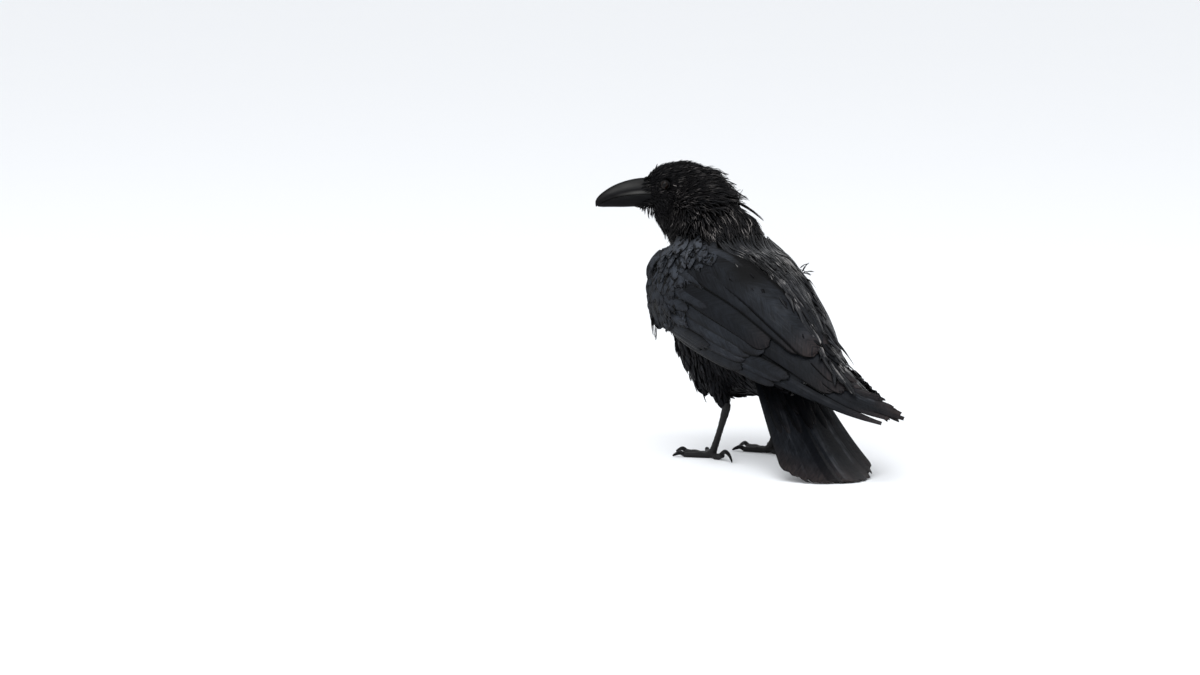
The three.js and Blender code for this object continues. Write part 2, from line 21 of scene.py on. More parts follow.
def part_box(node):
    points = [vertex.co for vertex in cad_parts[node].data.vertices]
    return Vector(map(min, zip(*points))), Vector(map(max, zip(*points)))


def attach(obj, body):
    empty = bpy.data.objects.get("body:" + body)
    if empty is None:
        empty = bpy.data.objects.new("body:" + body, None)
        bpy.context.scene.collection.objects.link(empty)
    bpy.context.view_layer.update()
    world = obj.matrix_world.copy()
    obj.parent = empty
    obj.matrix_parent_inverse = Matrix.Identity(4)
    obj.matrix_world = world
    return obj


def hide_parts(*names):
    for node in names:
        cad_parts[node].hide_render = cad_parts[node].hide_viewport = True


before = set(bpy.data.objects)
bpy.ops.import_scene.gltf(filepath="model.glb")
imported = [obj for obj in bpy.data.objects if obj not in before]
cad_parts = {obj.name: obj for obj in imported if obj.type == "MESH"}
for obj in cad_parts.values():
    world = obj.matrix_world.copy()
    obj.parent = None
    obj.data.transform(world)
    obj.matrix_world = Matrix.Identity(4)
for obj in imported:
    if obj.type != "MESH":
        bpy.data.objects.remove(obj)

MM = 0.001
SAME_PLACE = 1e-7  # metres within which two vertices are one
PATCH = 0.003  # how wide one feather is on the OFBake map
HEAD_CENTRE = np.array([10.0, -86.0, 303.0])
HEAD_TURN = math.radians(38)  # of the bill's heading from +X towards -Y
EYE_PLACE = (21.0, 16.6, 5.5)  # ahead of, beside and above the head's centre
EYE_RADIUS = 6.2
FOOT_PLACE = {"left": (36.0, 0.0), "right": (-40.0, 12.0)}
ANKLE_RISE = 61.0  # above the ground
ANKLE_BACK = 27.0  # behind the foot's middle
TAIL_ROOT = np.array([0.0, 62.0, 143.0])

Array = np.ndarray
Generator = np.random.Generator
Material = bpy.types.Material
Mesh = bpy.types.Mesh
Socket = bpy.types.NodeSocket
log = logging.getLogger("raven")


class Side(Enum):
    """The two sides of the bird, with the sign of their X."""

    LEFT = 1
    RIGHT = -1

    @property
    def word(self) -> str:
        """The side's name in lower case."""
        return self.name.lower()


class Slot(Enum):
    """The record's material slots."""

    PLUMAGE = "plumage"
    HORN = "horn"
    LEG = "leg_scales"
    EYE = "eye"


# ---------------------------------------------------------------- lines and frames


def unit(vectors: Array) -> Array:
    """Vectors at length one."""
    return vectors / np.maximum(np.linalg.norm(vectors, axis=-1, keepdims=True), 1e-9)


def blend(a: Array, b: Array, share: Array) -> Array:
    """Between a and b, with one share for each row."""
    return a + (b - a) * np.asarray(share)[..., None]


HEAD_AHEAD = np.array([math.cos(HEAD_TURN), -math.sin(HEAD_TURN), 0.0])
HEAD_UP = np.array([0.0, 0.0, 1.0])
HEAD_LEFT = np.cross(HEAD_UP, HEAD_AHEAD)


def head_way(ahead: Array | float, left: Array | float, above: Array | float) -> Array:
    """A direction in the head's own terms."""
    return ahead * HEAD_AHEAD + left * HEAD_LEFT + above * HEAD_UP


def on_head(ahead: Array | float, left: Array | float, above: Array | float) -> Array:
    """A point of the head from how far it is ahead of, left of and above the head's centre."""
    return HEAD_CENTRE + head_way(ahead, left, above)


def plain(x: float, y: float, z: float) -> Array:
    """A point or a direction in the bird's own frame."""
    return np.array([x, y, z], float)


class SmoothLine:
    """A smooth line through points, the same as the one that the solids are built on."""

    def __init__(self, points: Sequence[Sequence[float]]) -> None:
        """Keeps the points, with one more beyond each end.

        Args:
            points: what the line passes through, evenly spaced in its parameter.
        """
        knots = np.array([np.asarray(p, float) for p in points])
        self.knots = np.vstack([2 * knots[0] - knots[1], knots, 2 * knots[-1] - knots[-2]])

    def at(self, t: Array) -> Array:
        """Points of the line.

        Args:
            t: parameters from 0 to 1.

        Returns:
            One point for each parameter.
        """
        spans = len(self.knots) - 3
        place = np.clip(t, 0, 1) * spans
        span = np.minimum(place.astype(int), spans - 1)
        w = (place - span)[..., None]
        before, a, b, after = (self.knots[span + k] for k in range(4))
        leave, arrive = 0.5 * (b - before), 0.5 * (after - a)
        cubic = (2 * a - 2 * b + leave + arrive) * w**3
        return a + leave * w + (3 * b - 3 * a - 2 * leave - arrive) * w**2 + cubic

    def tangent(self, t: Array) -> Array:
        """Directions of the line at parameters from 0 to 1."""
        step = 1e-3
        return unit(self.at(np.minimum(t + step, 1)) - self.at(np.maximum(t - step, 0)))


def round_end(t: Array, reach: float) -> Array:
    """How round an end is: 0 at the very end and 1 from a share `reach` of the length inwards."""
    inside = np.clip(t / max(reach, 1e-6), 0, 1)
    return np.sqrt(np.maximum(0, 1 - (1 - inside) ** 2))


def saw(x: Array) -> Array:
    """A rising ramp from 0 to 1 over each whole step of x."""
    return x - np.floor(x)


# ---------------------------------------------------------------- meshes


def in_scene(name: str, data: bpy.types.ID) -> bpy.types.Object:
    """Makes an object of this mesh, light or camera and links it to the scene.

    Args:
        name: the object's name.
        data: what it shows.

    Returns:
        The object.
    """
    thing = bpy.data.objects.new(name, data)
    bpy.context.scene.collection.objects.link(thing)
    return thing


def joined(name: str, meshes: Sequence[Mesh]) -> Mesh:
    """Makes one mesh of several, which are removed.

    Args:
        name: the new mesh's name.
        meshes: what it is made of.

    Returns:
        The joined mesh.
    """
    bm = bmesh.new()
    for mesh in meshes:
        bm.from_mesh(mesh)
        bpy.data.meshes.remove(mesh)
    return from_bmesh(bm, name)


def from_bmesh(bm: bmesh.types.BMesh, name: str) -> Mesh:
    """Turns a bmesh into a new mesh and frees it.

    Args:
        bm: holds the shape.
        name: the new mesh's name.

    Returns:
        The new mesh.
    """
    mesh = bpy.data.meshes.new(name)
    bm.to_mesh(mesh)
    bm.free()
    return mesh


def corners_and_faces(bm: bmesh.types.BMesh) -> tuple[Array, list[list[int]]]:
    """Takes a bmesh's places and faces as plain numbers and frees it.

    Args:
        bm: holds the shape.

    Returns:
        The places, and each face's vertex numbers.
    """
    bm.verts.index_update()
    places = np.array([v.co[:] for v in bm.verts])
    faces = [[v.index for v in f.verts] for f in bm.faces]
    bm.free()
    return places, faces


def outward(mesh: Mesh) -> None:
    """Turns a closed mesh's faces outwards.

    Args:
        mesh: is changed in place.
    """
    bm = bmesh.new()
    bm.from_mesh(mesh)
    bmesh.ops.remove_doubles(bm, verts=bm.verts[:], dist=SAME_PLACE)
    bmesh.ops.recalc_face_normals(bm, faces=bm.faces[:])
    bm.to_mesh(mesh)
    bm.free()


def threes(things: bpy.types.bpy_prop_collection, name: str, kind: type) -> Array:
    """A property of three numbers of each vertex or triangle.

    Args:
        things: a mesh's vertices or triangles.
        name: the property's name.
        kind: of its numbers.

    Returns:
        A row of three for each.
    """
    numbers = np.zeros(len(things) * 3, kind)
    things.foreach_get(name, numbers)
    return numbers.reshape(-1, 3)


class Workshop:
    def __init__(self) -> None:
        """Works out where the bird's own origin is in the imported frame, from the left eye's solid."""
        low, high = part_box("eye_left")
        eye = on_head(*EYE_PLACE) * MM
        self.origin = np.array((low + high) / 2) - eye

    def to_frame(self, points: Array) -> Array:
        """Millimetres of the bird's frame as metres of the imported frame."""
        return points * MM + self.origin

    def from_frame(self, points: Array) -> Array:
        """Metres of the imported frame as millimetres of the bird's frame."""
        return (points - self.origin) / MM

    def finish(self, mesh: Mesh, material: Material, slot: Slot, nodes: Sequence[str] = ()) -> None:
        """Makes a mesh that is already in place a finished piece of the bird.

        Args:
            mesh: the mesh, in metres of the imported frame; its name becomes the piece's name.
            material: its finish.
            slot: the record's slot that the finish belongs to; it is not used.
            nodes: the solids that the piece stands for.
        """
        mesh.materials.clear()
        mesh.materials.append(material)
        mesh.shade_smooth()
        piece = in_scene(mesh.name, mesh)
        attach(piece, "root")
        if nodes:
            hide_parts(*nodes)
        log.info("%s: %d faces", mesh.name, len(mesh.polygons))


class Template:
    """A closed unit form that is bent to many places: z runs along it, x across it and y up from it."""

    def __init__(self, stations: int, section: Sequence[tuple[float, float]]) -> None:
        """Draws the section's loop along the form and closes its ends.

        Args:
            stations: how many lengths it is cut into.
            section: the loop's points, across and up.
        """
        bm = bmesh.new()
        ring = bmesh.ops.create_circle(bm, segments=len(section), radius=1)["verts"]
        for vertex, (across, up) in zip(ring, section):
            vertex.co = (across, up, 0)
        edges = bm.edges[:]
        for _ in range(stations):
            grown = bmesh.ops.extrude_edge_only(bm, edges=edges)["geom"]
            moved = [g for g in grown if isinstance(g, bmesh.types.BMVert)]
            bmesh.ops.translate(bm, vec=(0, 0, 1 / stations), verts=moved)
            edges = [g for g in grown if isinstance(g, bmesh.types.BMEdge)]
        bmesh.ops.holes_fill(bm, edges=bm.edges[:])
        bmesh.ops.recalc_face_normals(bm, faces=bm.faces[:])
        places, self.faces = corners_and_faces(bm)
        self.across, self.up, self.along = places.T


def tiled_mesh(name: str, places: Array, faces: list[list[int]]) -> Mesh:
    """Joins many copies of one set of faces.

    Args:
        name: the mesh's name.
        places: copies x vertices x 3.
        faces: one copy's faces.

    Returns:
        The joined mesh.
    """
    copies, size = places.shape[:2]
    loops = np.concatenate([np.array(f) for f in faces])
    lengths = np.array([len(f) for f in faces])
    starts = np.concatenate([[0], np.cumsum(lengths)[:-1]])
    shift = np.arange(copies)[:, None]
    mesh = bpy.data.meshes.new(name)
    mesh.vertices.add(copies * size)
    mesh.vertices.foreach_set("co", places.reshape(-1).astype(np.float32))
    mesh.loops.add(copies * len(loops))
    mesh.loops.foreach_set("vertex_index", (loops + shift * size).reshape(-1).astype(np.int32))
    mesh.polygons.add(copies * len(lengths))
    mesh.polygons.foreach_set("loop_start", (starts + shift * len(loops)).reshape(-1).astype(np.int32))
    mesh.update(calc_edges=True)
    mesh.validate()
    return mesh


def set_attribute(mesh: Mesh, name: str, values: Array) -> None:
    """Stores one vector for each vertex of a mesh."""
    layer = mesh.attributes.new(name, "FLOAT_VECTOR", "POINT")
    layer.data.foreach_set("vector", values.reshape(-1).astype(np.float32))


def set_uv(mesh: Mesh, values: Array) -> None:
    """Stores the OFBake map from one place for each vertex.

    Args:
        mesh: gets the map.
        values: a pair for each vertex.
    """
    corners = np.zeros(len(mesh.loops), np.int32)
    mesh.loops.foreach_get("vertex_index", corners)
    layer = mesh.uv_layers.new(name="OFBake")
    layer.data.foreach_set("uv", values.reshape(-1, 2)[corners].reshape(-1).astype(np.float32))


# ---------------------------------------------------------------- shader maths


class Value:
    """A node's output that takes part in Python sums, adding the Math nodes that they need."""

    def __init__(self, shader: Shader, socket: Socket) -> None:
        """Wraps a socket of a shader."""
        self.shader = shader
        self.socket = socket

    def _math(self, operation: str, *values: Value | float) -> Value:
        """A Math node on these values.

        Args:
            operation: the node's own word for it.
            values: what goes into its sockets, in order.

        Returns:
            What comes out.
        """
        inputs = dict(enumerate(values))
        node = self.shader.node("ShaderNodeMath", {"operation": operation}, inputs)
        return Value(self.shader, node.outputs[0])

    def __add__(self, other: Value | float) -> Value:
        """The sum."""
        return self._math("ADD", self, other)

    __radd__ = __add__

    def __mul__(self, other: Value | float) -> Value:
        """The product."""
        return self._math("MULTIPLY", self, other)

    __rmul__ = __mul__

    def __sub__(self, other: Value | float) -> Value:
        """The difference."""
        return self._math("SUBTRACT", self, other)

    def __rsub__(self, other: float) -> Value:
        """The difference from a number."""
        return self._math("SUBTRACT", other, self)

    def __truediv__(self, other: Value | float) -> Value:
        """The quotient."""
        return self._math("DIVIDE", self, other)

    def __abs__(self) -> Value:
        """The size without its sign."""
        return self._math("ABSOLUTE", self)

    def wave(self) -> Value:
        """The sine."""
        return self._math("SINE", self)

    def cut(self) -> Value:
        """Held between 0 and 1."""
        return self._math("MINIMUM", self._math("MAXIMUM", self, 0.0), 1.0)

    def step(self, start: float, end: float) -> Value:
        """0 below start and 1 above end, straight between."""
        return ((self - start) / (end - start)).cut()

    def bell(self, width: float) -> Value:
        """1 at 0, falling smoothly to about a third a width away on both sides."""
        scaled = self / width
        return self._math("EXPONENT", scaled * scaled * -1.0)


class Shader:
    """The nodes of one material."""

    def __init__(self, name: str) -> None:
        """Starts an empty material with its output and one surface shader.

        Args:
            name: the material's name.
        """
        self.material = bpy.data.materials.new(name)
        self.material.use_nodes = True
        self.tree = self.material.node_tree
        self.tree.nodes.clear()
        output = self.tree.nodes.new("ShaderNodeOutputMaterial")
        self.surface = self.tree.nodes.new("ShaderNodeBsdfPrincipled")
        self.tree.links.new(self.surface.outputs[0], output.inputs[0])

    def node(
        self,
        kind: str,
        settings: dict[str, object] | None = None,
        inputs: dict[str | int, object] | None = None,
    ) -> bpy.types.Node:
        """Adds a node.

        Args:
            kind: the node's type.
            settings: its own properties, which are set first.
            inputs: a value or a link for each socket, by name or number.

        Returns:
            The node.
        """
        node = self.tree.nodes.new(kind)
        for key, value in (settings or {}).items():
            setattr(node, key, value)
        for key, value in (inputs or {}).items():
            self.feed(node.inputs[key], value)
        return node

    def feed(self, socket: Socket, value: object) -> None:
        """Links a socket, or sets its own value.

        Args:
            socket: an input of a node.
            value: a link or a plain value.
        """
        if isinstance(value, Value):
            self.tree.links.new(value.socket, socket)
        elif isinstance(value, Socket):
            self.tree.links.new(value, socket)
        else:
            socket.default_value = value

    def set(self, **sockets: object) -> None:
        """Sets or links the surface's sockets; an underscore in a name stands for a space."""
        for key, value in sockets.items():
            self.feed(self.surface.inputs[key.replace("_", " ")], value)

    def object_place(self) -> Socket:
        """The place in the object's own coordinates, in metres."""
        return self.node("ShaderNodeTexCoord").outputs["Object"]

    def parts(self, vector: Socket) -> tuple[Value, Value, Value]:
        """A vector's three numbers."""
        split = self.node("ShaderNodeSeparateXYZ", inputs={0: vector})
        return tuple(Value(self, out) for out in split.outputs)

    def attribute(self, name: str) -> Socket:
        """A vector attribute of the mesh."""
        return self.node("ShaderNodeAttribute", {"attribute_name": name}).outputs["Vector"]

    def vector(self, x: object, y: object, z: object) -> Socket:
        """Three numbers as a vector."""
        return self.node("ShaderNodeCombineXYZ", inputs={0: x, 1: y, 2: z}).outputs[0]

    def stretched(self, place: object, turn: Sequence[float], scale: Sequence[float]) -> Socket:
        """A place in turned axes, with its own scale along each of them.

        Args:
            place: the place to change.
            turn: of the axes, in radians.
            scale: along each of them.

        Returns:
            The new place.
        """
        settings = {"vector_type": "TEXTURE"}
        inputs = {"Vector": place, "Rotation": tuple(turn), "Scale": tuple(1 / v for v in scale)}
        return self.node("ShaderNodeMapping", settings, inputs).outputs[0]

    def noise(self, place: object, scale: float, detail: float = 3.0, rough: float = 0.55) -> Value:
        """Noise from about 0 to 1 at a place."""
        inputs = {"Vector": place, "Scale": scale, "Detail": detail, "Roughness": rough}
        return Value(self, self.node("ShaderNodeTexNoise", inputs=inputs).outputs[0])

    def mix(self, share: object, a: object, b: object) -> Socket:
        """A colour between two colours."""
        node = self.node("ShaderNodeMix", {"data_type": "RGBA"}, {0: share, 6: a, 7: b})
        return node.outputs[2]

    def bump(self, height: Value, depth_mm: float, below: object | None = None) -> Socket:
        """A bumped normal from a height from 0 to 1 that stands for this depth.

        Args:
            height: from 0 to 1.
            depth_mm: what a height of 1 stands for.
            below: a normal that is bumped further, if any.

        Returns:
            The normal.
        """
        inputs = {"Height": height, "Distance": depth_mm * MM, "Strength": 1.0}
        if below is not None:
            inputs["Normal"] = below
        return self.node("ShaderNodeBump", inputs=inputs).outputs[0]

    def distance(self, place: Socket, centre: Array) -> Value:
        """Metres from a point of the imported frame."""
        far = self.node("ShaderNodeVectorMath", {"operation": "DISTANCE"}, {0: place, 1: tuple(centre)})
        return Value(self, far.outputs["Value"])

    def near(self, place: Socket, centre: Array, reach_mm: float) -> Value:
        """1 at a place, falling smoothly to about a third a reach away."""
        return self.distance(place, centre).bell(reach_mm * MM)


def tint(red: float, green: float, blue: float) -> tuple[float, float, float, float]:
    """An opaque linear colour."""
    return (red, green, blue, 1.0)


@dataclass(frozen=True)
class MarkingsAndShade:
    """The markings of skin and feathers: black head and throat, brownish wet nape, and painted shade that
    darkens the belly.
    """

    black: tuple[float, ...] = tint(0.0016, 0.0015, 0.0020)
    body: tuple[float, ...] = tint(0.0035, 0.0039, 0.0050)
    nape: tuple[float, ...] = tint(0.0120, 0.0088, 0.0078)
    shaded_belly: tuple[float, ...] = tint(0.0022, 0.0022, 0.0028)

    def paint(self, shader: Shader, shop: Workshop) -> Socket:
        """The colour of the plumage at each place of the body.

        Args:
            shader: the material it is painted in.
            shop: tells where the bird's points are in the frame.

        Returns:
            The colour's socket.
        """
        place = shader.object_place()
        head = shader.near(place, shop.to_frame(on_head(16, 0, 2)), 52)
        throat = shader.near(place, shop.to_frame(on_head(4, 0, -52)), 50)
        nape = shader.near(place, shop.to_frame(plain(4, -34, 268)), 46)
        # painted shade: the belly, low on the body, is darker
        under = shader.near(place, shop.to_frame(plain(0, 0, 92)), 66)
        blotch = shader.noise(place, 90.0, 4.0).step(0.35, 0.7)
        colour = shader.mix(under, self.body, self.shaded_belly)
        colour = shader.mix((head * 1.3 + throat).cut(), colour, self.black)
        return shader.mix((nape * blotch * 0.8).cut(), colour, self.nape)


BARB_SLANT = 1.3  # how far barbs lean to the tip for each millimetre from the rachis
SHEEN_RISE = (90, 215)  # the heights between which the painted sheen grows, so that lower parts are painted darker


@dataclass(frozen=True)
class FeatherFinish:
    """Black feathers with barbs and a painted blue-grey sheen, painted shade at the edges and roots, worn
    tips, and painted highlights on wet strands.
    """

    name: str
    painted_sheen: float = 0.0  # how much the painted blue-grey sheen lifts the colour
    rough: float = 0.5
    barb_mm: float = 1.1  # spacing of the barbs' furrows
    barb_depth: float = 0.05
    clump_depth: float = 0.22
    wear: float = 0.5  # brown at worn tips
    edge: tuple[float, float] = (0.7, 1.0)  # where across the vane its painted edge shadow begins and ends
    # how dark the painted shadow along the vane's edge is
    edge_shade: float = 0.6
    gleam: float = 0.6  # painted highlights along wet strands
    glossy: float = 0.11  # specular level
    shoulder_highlight: float = 0.0  # painted highlight on top of the shoulders, with a painted shadow in the hollow under the mantle
    slit_shadow: float = 0.0  # painted shadow lines beside and under some feathers only
    # colour of the painted sheen
    sheen_colour: tuple[float, ...] = tint(0.024, 0.0285, 0.037)
    worn: tuple[float, ...] = tint(0.024, 0.017, 0.0155)
    # colour of the painted highlights on wet strands and on the shoulders
    pale: tuple[float, ...] = tint(0.150, 0.136, 0.128)
    shadow: tuple[float, ...] = tint(0.0006, 0.0006, 0.0008)
    markings_and_shade: MarkingsAndShade = field(default_factory=MarkingsAndShade)

    def make(self, shop: Workshop) -> Material:
        """Builds the material.

        Args:
            shop: tells where the bird's points are in the frame.

        Returns:
            The material, which reads the attributes vane and tone.
        """
        s = Shader(self.name)
        along, across, half = s.parts(s.attribute("vane"))
        shade, wet, reach = s.parts(s.attribute("tone"))
        place = s.object_place()
        rim = abs(across)
        beside = rim * half
        slant = along - beside * BARB_SLANT
        drift = s.noise(s.vector(slant * 0.13, across * half * 0.18, shade * 40.0), 1.0, 3.0)
        streak = s.noise(s.vector(slant * 0.55, beside * 0.07, shade * 57.0), 1.0, 4.0, 0.6)
        strand = s.noise(s.vector(along * 0.05, across * half * 0.9, shade * 83.0), 1.0, 3.0, 0.6)
        barbs = (slant * (2 * math.pi / self.barb_mm) + drift * 5.0).wave() * 0.5 + 0.5

        # painted sheen: blue-grey in random patches, fuller at each vane's middle and higher on the bird,
        # where the light falls
        patch = s.noise(place, 55.0, 3.0).step(0.34, 0.66)
        lift = drift.step(0.3, 0.75) * 0.5 + streak.step(0.35, 0.75) * 0.35 + patch * 0.45
        low, high = (float(shop.to_frame(plain(0, 0, z))[2]) for z in SHEEN_RISE)
        rise = s.parts(place)[2].step(low, high)
        lift = self.painted_sheen * lift * (0.45 + 0.9 * shade) * (1.15 - rim * rim * 0.7) * (0.35 + 0.65 * rise)
        sheen, shaded = 0.0, 0.0
        # painted highlight on top of the shoulders, and painted shadow in the hollow under the mantle
        if self.shoulder_highlight:
            for side in Side:
                shoulder_highlight = s.near(place, shop.to_frame(plain(side.value * 57, -24, 246)), 36)
                hollow_shadow = s.near(place, shop.to_frame(plain(side.value * 30, 66, 224)), 22)
                lift = lift * (1.0 - hollow_shadow * 0.95) + shoulder_highlight * self.shoulder_highlight * streak
                shaded = shaded + hollow_shadow * 1.1
                sheen = sheen + shoulder_highlight * self.shoulder_highlight * (0.25 + streak * 0.5)
        colour = s.mix(lift.cut(), self.markings_and_shade.paint(s, shop), self.sheen_colour)
        if self.shoulder_highlight:
            colour = s.mix((sheen * (0.7 + 0.3 * shade)).cut(), colour, self.pale)
        tips = reach.step(0.72, 1.0) * streak.step(0.3, 0.7) * self.wear
        colour = s.mix((tips * (0.4 + shade)).cut(), colour, self.worn)

        # painted shade: in the furrows between clumps, over the root that the feather above covers, along the
        # vane's edges, and in the hollow under the mantle
        dark = (1.0 - streak.step(0.3, 0.55)) * 0.5 + (1.0 - reach.step(0.05, 0.4)) * 0.6
        dark = dark + rim.step(*self.edge) * self.edge_shade + shaded
        if self.slit_shadow:
            # painted shadows: diagonal slits, and lines beside and under the tips of some feathers
            turned = s.stretched(place, (math.radians(-24), 0, 0), (200.0, 210.0, 52.0))
            dark = dark + s.noise(turned, 1.0, 2.0, 0.5).step(0.565, 0.62) * self.slit_shadow * 1.2
            shadow_beside_it = (across + 0.72).bell(0.3) * shade.step(0.45, 0.75) * reach.step(0.3, 0.5)
            shadow_under_it = reach.step(0.84, 0.97) * (1.0 - shade.step(0.1, 0.6))
            dark = dark + (shadow_beside_it + shadow_under_it) * self.slit_shadow
        colour = s.mix(dark.cut(), colour, self.shadow)

        # painted highlights along wet strands, in clusters; the same mask also sets a real clear coat
        gleams = (across - 0.15).bell(0.2) * 0.5 + strand.step(0.52, 0.66) * (1.0 - rim.step(0.4, 0.95))
        cluster = s.noise(place, 42.0, 2.0).step(0.46, 0.6) * 1.3 + 0.25
        gleams = gleams * wet * shade.step(0.45, 0.95) * reach.step(0.2, 0.5) * cluster * self.gleam
        gleams = gleams.cut()
        colour = s.mix(gleams, colour, self.pale)
        clumps = s.bump(streak * 0.6 + drift * 0.4, self.clump_depth)
        normal = s.bump(barbs, self.barb_depth, clumps)
        rough = (self.rough + (streak - 0.5) * 0.3 + (shade - 0.5) * 0.12 - wet * 0.22).cut()
        s.set(Base_Color=colour, Roughness=rough, Normal=normal, Coat_Weight=gleams * 0.4)
        s.set(Specular_IOR_Level=self.glossy, Coat_Roughness=0.25)
        return s.material


@dataclass(frozen=True)
class SkinFinish:
    """The skin under the coat, with the coat's markings, the belly's painted shade and fine down."""

    name: str = "raven_skin"
    markings_and_shade: MarkingsAndShade = field(default_factory=MarkingsAndShade)

    def make(self, shop: Workshop) -> Material:
        """Builds the material from the coat's own markings and the belly's painted shade.

        Args:
            shop: tells where the bird's points are in the frame.

        Returns:
            The material.
        """
        s = Shader(self.name)
        place = s.object_place()
        down = s.noise(place, 900.0, 4.0)
        colour = s.mix(down.step(0.3, 0.8) * 0.5, self.markings_and_shade.paint(s, shop), tint(0.001, 0.001, 0.0012))
        s.set(Base_Color=colour, Roughness=0.6 + 0.3 * down, Normal=s.bump(down, 0.3))
        s.set(Specular_IOR_Level=0.15)
        return s.material


@dataclass(frozen=True)
class HornFinish:
    """Satin grey-black horn, paler where it is rubbed, paler along the cutting edge, and with a painted
    reflection on the culmen's flank.
    """

    name: str
    dark: tuple[float, ...] = tint(0.0022, 0.0022, 0.0026)
    rubbed: tuple[float, ...] = tint(0.008, 0.008, 0.009)
    pale: tuple[float, ...] = tint(0.080, 0.078, 0.074)
    pale_edge_and_reflection: float = 0.0  # how pale the cutting edge is, and how bright the painted reflection on the culmen's flank
    rough: float = 0.3

    def make(self, shop: Workshop) -> Material:
        """Builds the material, with streaks that run along the bill.

        Args:
            shop: tells where the bird's points are in the frame; it is not used.

        Returns:
            The material.
        """
        s = Shader(self.name)
        place = s.object_place()
        grain = s.noise(s.stretched(place, (0, 0, -HEAD_TURN), (30.0, 260.0, 260.0)), 1.0, 4.0, 0.6)
        flakes = s.noise(place, 420.0, 3.0)
        along, rise, _ = s.parts(s.attribute("way"))
        colour = s.mix(grain.step(0.42, 0.75) * 0.7, self.dark, self.rubbed)
        # paler along the cutting edge, and a painted reflection of the sky on the culmen's flank
        edge = (rise - 0.12).bell(0.1) * (along - 0.22).bell(0.2)
        flank = (rise - 0.7).bell(0.2) * (along - 0.4).bell(0.3) * 0.4
        colour = s.mix(((edge + flank) * self.pale_edge_and_reflection * (0.4 + grain)).cut(), colour, self.pale)
        rough = (self.rough + (flakes - 0.5) * 0.3).cut()
        s.set(Base_Color=colour, Roughness=rough, Normal=s.bump(grain * 0.6 + flakes * 0.4, 0.1))
        s.set(Specular_IOR_Level=0.07)
        return s.material


@dataclass(frozen=True)
class ScaleFinish:
    """Dull black scaled skin of legs and toes, with dust in its furrows."""

    name: str = "raven_leg_scales"
    dark: tuple[float, ...] = tint(0.0050, 0.0050, 0.0055)
    dusty: tuple[float, ...] = tint(0.024, 0.0225, 0.0215)

    def make(self, shop: Workshop) -> Material:
        """Builds the material with small net-like scales.

        Args:
            shop: tells where the bird's points are in the frame; it is not used.

        Returns:
            The material.
        """
        s = Shader(self.name)
        place = s.object_place()
        inputs = {"Vector": place, "Scale": 700.0}
        cells = s.node("ShaderNodeTexVoronoi", {"feature": "DISTANCE_TO_EDGE"}, inputs)
        edge = Value(s, cells.outputs["Distance"]).step(0.02, 0.22)
        grime = s.noise(place, 160.0, 4.0)
        colour = s.mix(((1.0 - edge) * grime).cut() * 0.8, self.dark, self.dusty)
        s.set(Base_Color=colour, Roughness=0.4 + 0.3 * grime, Normal=s.bump(edge, 0.16))
        s.set(Specular_IOR_Level=0.15)
        return s.material


@dataclass(frozen=True)
class EyeFinish:
    """A wet dark brown eye with a black pupil."""

    name: str
    centre: Array
    outward: Array
    iris: tuple[float, ...] = tint(0.0055, 0.0026, 0.0015)

    def make(self, shop: Workshop) -> Material:
        """Builds the material; the pupil faces outwards.

        Args:
            shop: tells where the bird's points are in the frame.

        Returns:
            The material.
        """
        s = Shader(self.name)
        place = s.object_place()
        front = shop.to_frame(self.centre + self.outward * EYE_RADIUS)
        off = s.distance(place, front) / MM
        fibres = s.noise(place, 1500.0, 3.0)
        ring = off.step(1.9, 2.3)
        colour = s.mix(ring, tint(0.001, 0.001, 0.001), self.iris)
        colour = s.mix((off.step(4.2, 5.0) + fibres * 0.3).cut(), colour, tint(0.002, 0.0015, 0.0015))
        s.set(Base_Color=colour, Roughness=0.06 + fibres * 0.02)
        s.set(Coat_Weight=0.07, Coat_Roughness=0.03, Specular_IOR_Level=0.08)
        return s.material


# ---------------------------------------------------------------- feathers


# A feather's cross-section, across and up.
LOCK = ((-1, 0), (0, 1), (1, 0))
LENS = ((-1, 0), (-0.5, 0.8), (0, 1), (0.5, 0.8), (1, 0), (0, -0.5))
FLAT = (
    (-1, 0), (-0.75, 0.6), (-0.4, 0.9), (0, 1), (0.4, 0.9), (0.75, 0.6), (1, 0),
    (0.4, -0.6), (0, -0.7), (-0.4, -0.6),
)
VANE = (
    (-1, 0), (-0.8, 0.6), (-0.4, 0.8), (-0.07, 0.9), (0, 1.5), (0.07, 0.9), (0.4, 0.8), (0.8, 0.6), (1, 0),
    (0.5, -0.6), (0, -0.8), (-0.5, -0.6),
)


@dataclass(frozen=True)
class Plume:
    """The form of one kind of feather; shares are of its width or its length."""

    template: Template
    root: float = 0.5  # width at the root
    widest: float = 0.35  # where it reaches its full width
    tip: float = 0.3  # length over which it narrows
    sharp: float = 0.5  # power of the narrowing: 0.5 is round, 1 and more is pointed
    end: float = 0.12  # width left at the very tip
    fray: float = 0.05  # how deep the tip is cut into strands
    thick: float = 0.35  # mm at the middle
    camber: float = 0.2  # rise of the middle over the edges
    sweep: float = 0.0  # mm that it waves sideways

    def width_at(self, u: Array) -> Array:
        """The share of the full width at shares u of the length.

        Args:
            u: from 0 at the root to 1 at the tip.

        Returns:
            The shares.
        """
        grow = np.clip(u / self.widest, 0, 1)
        body = self.root + (1 - self.root) * np.sin(0.5 * np.pi * grow)
        left = np.clip((1 - u) / self.tip, 0, 1)
        close = (1 - (1 - left) ** 2) ** self.sharp
        return body * (self.end + (1 - self.end) * close)


@dataclass
class Run:
    """Where a set of feathers lies, one row for each feather."""

    line: Array  # its middle line: feathers x stations x 3
    out: Array  # the way out of the body along it: feathers x stations x 3
    width: Array
    chart: Array  # its root's place on the unwrap, 0 to 1 both ways
    wet: Array
    lean: Array | None = None  # the rachis's place across the vane, -1 to 1


STRANDS = 40  # a frayed tip is cut into at most this many


